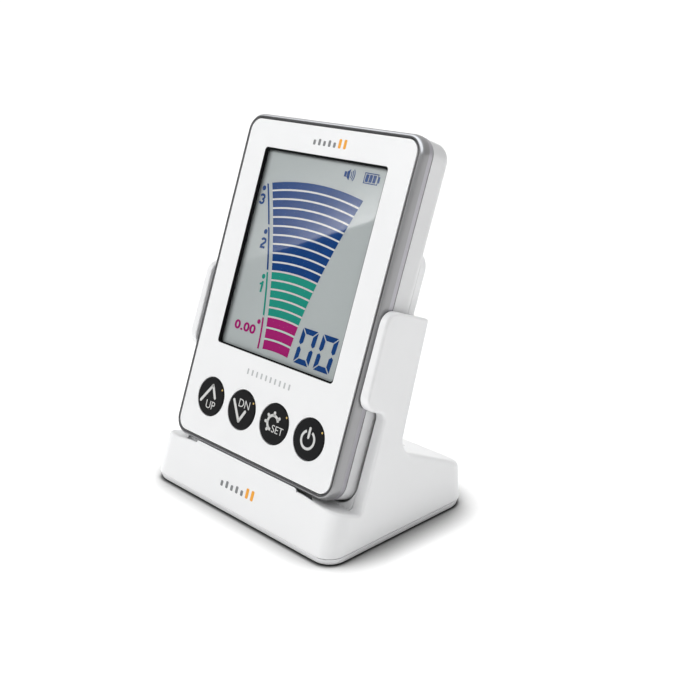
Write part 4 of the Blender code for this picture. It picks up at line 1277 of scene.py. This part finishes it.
def make_base_plate():
    """The bottom cover, with recesses round the feet and under the screw heads."""
    high = BASE_HIGH.z
    profile = [
        (0.0010, COVER_LOW), (0.0007, COVER_LOW + 0.0001), (0.0005, COVER_LOW + 0.0004),
        (0.0002, high - 0.0001), (0.0003, high),
    ]
    plate = lofted("base_cover", [base_loop(*point) for point in profile])
    for name in frame["nodes"]:
        is_screw = name.startswith("base_screw_")
        if is_screw or name.startswith("foot_"):
            foot_low, foot_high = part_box(name)
            x, y, _ = (foot_low + foot_high) / 2
            reach = (foot_high.x - foot_low.x) / 2 + (HEAD_ROOM if is_screw else GAP)
            top = foot_low.z + HEAD_SEAT if is_screw else foot_high.z + FOOT_SEAT
            cut(plate, cylinder("recess", reach, (x, y, -0.001), (x, y, top), 40))
    settle(plate, "cradle", SHELL_WHITE, "white_plastic", ["base_plate"], tilted=False)


def make_base_seam_painted_shade():
    """A grey band sunk in the seam between the cradle and its base cover: painted shade that darkens the
    seam's line.
    """
    low, high = BASE_HIGH.z + 0.00003, SEAM_Z - 0.00003
    loops = []
    for inset, z in ((0.0014, low), (SEAM_SHADE_INSET, low), (SEAM_SHADE_INSET, high), (0.0014, high)):
        loops.append(base_loop(inset, z))
    shade_ring = lofted("base_seam_painted_shade", loops, ring=True)
    settle(shade_ring, "cradle", GREY_PRINT_AND_SEAM_SHADE, "white_plastic", tilted=False)


# ---- small hardware ----


def make_screw(node, body, tilted, head_t):
    """A pan-head screw with a cross recess, on the axis of its CAD node."""
    low, high = unit_extent(node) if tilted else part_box(node)
    length = high.y - low.y if tilted else high.z - low.z
    head = (high.x - low.x) / 2
    shaft, under = head / 2, length - head_t
    profile = [(0, 0), (shaft * 0.6, 0), (shaft, SCREW_POINT), (shaft, under), (head, under)]
    for step in range(5):
        t = math.pi / 2 * step / 4
        crown = head_t * 0.6 * (1 - math.sin(t))
        profile.append((head - HEAD_CROWN * (1 - math.cos(t)), length - crown))
    screw = turned(node.replace("screw", "fastener"), [*profile, (0, length)], (0, 0, 0), 40)
    arm, deep = head * CROSS_ARM, head_t * CROSS_DEEP
    for x, z in ((arm, CROSS_W), (CROSS_W, arm)):
        cut(screw, box("cross", (-x, length - deep, -z), (x, length + 0.001, z)))
    if tilted:
        screw.data.transform(Matrix.Translation(((low.x + high.x) / 2, low.y, (low.z + high.z) / 2)))
    else:
        turn = Matrix.Rotation(-math.pi / 2, 4, "X")
        middle = (low + high) / 2
        screw.data.transform(Matrix.Translation((middle.x, middle.y, high.z)) @ turn)
    settle(screw, body, STEEL, "steel", [node], tilted=tilted)


def make_screws():
    for number in range(1, 5):
        make_screw(f"case_screw_{number}", "handset", True, CASE_HEAD_T)
        make_screw(f"base_screw_{number}", "cradle", False, BASE_HEAD_T)


def make_probe_socket():
    """The round socket for the measuring lead, in the case's side."""
    low, high = unit_extent("probe_socket")
    face = -(FACE_W / 2 + CASE_OUT - CASE_T - SOCKET_ROOM)
    socket = box("socket_ring", (face, low.y, low.z), high)
    mouth = (low.x, SOCKET_Y, SOCKET_Z)
    join(socket, cylinder("collar", SOCKET_COLLAR_R, mouth, (face + 0.001, SOCKET_Y, SOCKET_Z), 64))
    bore = ((low.x - 0.001, SOCKET_Y, SOCKET_Z), (face + SOCKET_BORE_L, SOCKET_Y, SOCKET_Z))
    cut(socket, cylinder("bore", SOCKET_BORE_R, *bore, 64))

    def at_mouth(edge):
        return is_sharp(edge) and all(abs(v.co.x - low.x) < NEAR for v in edge.verts)

    round_edges(socket, at_mouth, SOCKET_EDGE_R, 3)
    settle(socket, "handset", BLACK, "black_plastic", ["probe_socket"])


# ---- printed marks: plain level bars in place of lettering ----


def level_bars(name, x, z, heights, pitch, width, material, body, slot):
    """A row of upright bars centred on (x, z), their feet level."""
    tallest = max(heights)
    start = x - pitch * (len(heights) - 1) / 2
    shapes = []
    for k, tall in enumerate(heights):
        if tall:
            left, low = start + pitch * k - width / 2, z - tallest / 2
            shapes.append(rectangle((left, low), (left + width, low + tall), width * 0.3, 3))
    bars = flat_shapes(name, shapes, -PRINT_T, thickness=PRINT_T)
    settle(bars, body, material, slot, weighted=False)


def make_printed_marks():
    """Five grey bars and two orange ones on the face and the cradle, and a row of dashes between."""
    for place, body, slot in (("top", "handset", "face_white"), ("cradle", "cradle", "white_plastic")):
        x, z, size = MARK_PLACES[place]
        tall, pitch, width = MARK_H * size, MARK_PITCH * size, MARK_W * size
        grey = [*[share * tall for share in MARK_GREY], 0, 0]
        orange = [0, 0, 0, 0, 0, tall, tall]
        level_bars(f"mark_{place}_grey", x, z - 0.15 * tall, grey, pitch, width, GREY_PRINT_AND_SEAM_SHADE, body, slot)
        level_bars(f"mark_{place}_orange", x, z, orange, pitch, width * 1.1, PRINT_ORANGE, body, slot)
    dashes = [DASH_H] * DASHES
    level_bars("mark_lower", *DASH_AT, dashes, DASH_PITCH, DASH_W, PRINT_PALE, "handset", "face_white")


# ---- CAD nodes that stay in view ----

CAD_FINISHES = {
    "lcd_backlight": LIGHT_GUIDE, "zebra_strip": RUBBER, "main_board": BOARD, "controller_chip": CHIP,
    "buzzer": CHIP, "battery_pack": FOIL, "battery_contacts": BRASS, "key_mat": RUBBER,
    "ballast": STEEL, "key_switch": CHIP, "foot": RUBBER,
}


def finish_cad_nodes():
    for name, node in frame["nodes"].items():
        stem = name.rstrip("_1234")
        if stem in CAD_FINISHES:
            node.data.materials.clear()
            node.data.materials.append(CAD_FINISHES[stem])


# ---- studio ----

CAMERA_AT, CAMERA_AIM = (0.2019, -0.1868, 0.1395), (0.01314, -0.00847, 0.0493)
CAMERA_LENS, CAMERA_SHIFT = 54.14, (0.0481, -0.0074)  # the lens in mm on a 36 mm sensor
CARD_AWAY, CARD_POWER, CARD_LEFT, CARD_TOP = 0.35, 6.5, 0.15, 0.12
FLAG_AWAY, FLAG_X, FLAG_Z = 0.45, (-0.06, 0.06), (-0.03, 0.12)
WORLD_LEVELS, WORLD_SPAN = (0.86, 0.42), (-0.6, 1.0)  # from left to right
KEY_LIGHT_AT, FOOT_LIGHT_AT, SUN_SPREAD = (-0.45, -0.60, 0.65), (0.10, 0.40, 0.50), math.radians(20)
CONTACT_REACH, CONTACT_TILT, CONTACT_FROM, CONTACT_POWER = 0.0135, (0.0, 1.3, 1.0), (0.35, 0.895), 1.4
CONTACT_SAMPLES, CONTACT_ALBEDO, FLOOR_ALBEDO = 32, 0.05, 0.80
FLOOR_HALF, FLOOR_T, BACKDROP_R = 40, 0.002, 38
GLARE_LEFT_Z, GLARE_RIGHT_Z = 0.0495, 0.0728
SOFT_BOX, SOFT_BOX_Z, SOFT_BOX_POWER = ((-0.60, -0.40), (1.20, 0.25)), 0.60, 3.4


def make_floor():
    """A white floor that darkens close to the cradle, where little light reaches it."""
    floor = box("floor", (-FLOOR_HALF, -FLOOR_HALF, -FLOOR_T), (FLOOR_HALF, FLOOR_HALF, 0))
    material = make_material("floor_white", (0.93, 0.93, 0.93), 0.6, bump=0.0, mottle=0.0,
                             Specular_IOR_Level=0.1)
    tree = material.node_tree
    contact = add_node(tree, "AmbientOcclusion", {
        "Distance": CONTACT_REACH, "Normal": Vector(CONTACT_TILT).normalized(),
    }, samples=CONTACT_SAMPLES)
    open_share = ramp(tree, contact.outputs["AO"], 0.0, 1.0, *CONTACT_FROM)
    fall_off = calculate(tree, "POWER", open_share, CONTACT_POWER)
    depth = ramp(tree, fall_off, CONTACT_ALBEDO, FLOOR_ALBEDO)
    tree.links.new(depth, tree.nodes["Principled BSDF"].inputs["Base Color"])
    floor.data.materials.append(material)
    return floor


def make_backdrop():
    """A white wall far out, past the cradle and the lights, that only the camera sees."""
    edge = circle(BACKDROP_R, steps=32)
    corners = [(x, y, z) for z in (-1.0, BACKDROP_R) for x, y in edge]
    count = len(edge)
    faces = [(k, (k + 1) % count, (k + 1) % count + count, k + count) for k in range(count)]
    mesh = bpy.data.meshes.new("backdrop")
    mesh.from_pydata(corners, [], faces)
    mesh.materials.append(glow_material("backdrop_white", (1, 1, 1), 1.0))
    wall = new_object("backdrop", mesh)
    for ray in ("diffuse", "glossy", "transmission", "shadow"):
        setattr(wall, "visible_" + ray, False)


def glow_material(name, colour, strength):
    """A finish that gives off light and reflects none."""
    material = bpy.data.materials.new(name)
    material.use_nodes = True
    tree = material.node_tree
    tree.nodes.clear()
    glow = add_node(tree, "Emission", {"Color": (*colour, 1), "Strength": strength})
    add_node(tree, "OutputMaterial", {"Surface": glow.outputs["Emission"]})
    return material


def make_world():
    """White light from all sides, strongest from the left."""
    world = bpy.data.worlds.new("studio")
    bpy.context.scene.world = world
    world.use_nodes = True
    tree = world.node_tree
    place = add_node(tree, "TexCoord").outputs["Generated"]
    split = add_node(tree, "SeparateXYZ", {"Vector": place})
    level = ramp(tree, split.outputs["X"], *WORLD_LEVELS, *WORLD_SPAN)
    feed(tree, tree.nodes["Background"], {"Color": (1, 1, 1, 1), "Strength": level})


def aimed(obj, at, towards):
    """Puts a light or the camera in place, looking at a point."""
    obj.location = at
    obj.rotation_euler = (Vector(towards) - Vector(at)).to_track_quat("-Z", "Y").to_euler()
    return obj


def area_light(name, at, towards, size, power):
    light = bpy.data.lights.new(name, "AREA")
    light.shape = "RECTANGLE"
    light.size, light.size_y = size
    light.energy = power
    return aimed(new_object(name, light), at, towards)


def sun_light(name, power):
    """Even light from straight above."""
    light = bpy.data.lights.new(name, "SUN")
    light.energy = power
    light.angle = SUN_SPREAD
    return new_object(name, light)


def only_for(source, *receivers):
    """A light that reaches only these objects; everything still casts its shadow."""
    group = bpy.data.collections.new(source.name + "_receivers")
    for obj in receivers:
        group.objects.link(obj)
    source.light_linking.receiver_collection = group


def black_backing():
    """A dark flag out of view, seen only in reflections, that keeps the blacks of the face deep."""
    (left, right), (low, high) = FLAG_X, FLAG_Z
    places = ((left, low), (right, low), (right, high), (left, high))
    black = make_material("flag_black", (0.01, 0.01, 0.01), 0.9, bump=0.0)
    only_in_reflections(mirrored_sheet("black_flag", places, FLAG_AWAY, black))


def only_in_reflections(obj):
    obj.visible_camera = False
    obj.visible_diffuse = False
    obj.visible_shadow = False


def mirrored_by_screen(x, z, away):
    """The point this far off that the camera sees mirrored in the display at (x, z)."""
    eye = UNIT.inverted() @ Vector(CAMERA_AT)
    spot = Vector((x, SCREEN_Y, z))
    ray = (spot - eye).normalized()
    return spot + Vector((ray.x, -ray.y, ray.z)) * away


def sheet(name, corners, material):
    """A flat panel with four corners."""
    mesh = bpy.data.meshes.new(name)
    mesh.from_pydata(corners, [], [(0, 1, 2, 3)])
    mesh.materials.append(material)
    return new_object(name, mesh)


def mirrored_sheet(name, places, away, material):
    """A panel that the camera sees mirrored in the display between four (x, z) places."""
    return sheet(name, [UNIT @ mirrored_by_screen(x, z, away) for x, z in places], material)


def make_reflection_card():
    """A bright sheet out of view that the display mirrors as a slanting patch of glare."""
    right, left = WINDOW_HIGH.x + 0.003, WINDOW_LOW.x - 0.004
    top = WINDOW_HIGH.y + 0.004
    places = ((left, GLARE_LEFT_Z), (right, GLARE_RIGHT_Z), (right, top), (left, top))
    material = glow_material("card_light", (1, 1, 1), CARD_POWER)
    card = mirrored_sheet("reflection_card", places, CARD_AWAY, material)
    layer = card.data.uv_layers.new(name="spread")
    for loop, place in zip(layer.data, ((0, 0), (1, 0), (1, 1), (0, 1))):
        loop.uv = place
    tree = material.node_tree
    split = add_node(tree, "SeparateXYZ", {"Vector": add_node(tree, "UVMap").outputs["UV"]})
    across = ramp(tree, split.outputs["X"], CARD_LEFT, 1.0, kind="SMOOTHSTEP")
    up = ramp(tree, split.outputs["Y"], 1.0, CARD_TOP)
    strength = calculate(tree, "MULTIPLY", calculate(tree, "MULTIPLY", across, up), CARD_POWER)
    tree.links.new(strength, tree.nodes["Emission"].inputs["Strength"])
    only_in_reflections(card)
    only_for(card, *[o for o in bpy.context.scene.objects if o.get("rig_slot") == "lcd_grey"])


def make_soft_box():
    """A bright panel overhead that only the silver ring mirrors, along its top and round one corner."""
    low, high = SOFT_BOX
    corners = [(low[0], low[1]), (low[0], high[1]), (high[0], high[1]), (high[0], low[1])]
    glow = glow_material("soft_box_light", (0.93, 0.96, 1.0), SOFT_BOX_POWER)
    panel = sheet("soft_box", [(x, y, SOFT_BOX_Z) for x, y in corners], glow)
    only_in_reflections(panel)
    only_for(panel, bpy.data.objects["trim_ring"])


def make_camera():
    data = bpy.data.cameras.new("camera")
    data.lens, data.sensor_width = CAMERA_LENS, 36
    data.shift_x, data.shift_y = CAMERA_SHIFT
    data.clip_start, data.clip_end = 0.01, 200
    bpy.context.scene.camera = aimed(new_object("camera", data), CAMERA_AT, CAMERA_AIM)


make_front_panel()
make_trim_band()
make_seam_painted_shade()
make_rear_case()
make_battery_door()
make_display()
make_screen_graphics()
make_keys()
make_key_legends()
make_cradle_body()
make_base_plate()
make_base_seam_painted_shade()
make_screws()
make_probe_socket()
make_printed_marks()
finish_cad_nodes()
make_world()
make_backdrop()
only_for(sun_light("overhead_light", 2.2), make_floor())
make_reflection_card()
make_soft_box()
black_backing()
area_light("key_light", KEY_LIGHT_AT, (0, 0, 0.05), (0.5, 0.5), 2.5)
foot_light = area_light("foot_light", FOOT_LIGHT_AT, (0, 0, 0), (0.3, 0.3), 0.8)
only_for(foot_light, bpy.data.objects["cradle_shell"])
make_camera()
bpy.context.scene.view_settings.view_transform = "Standard"
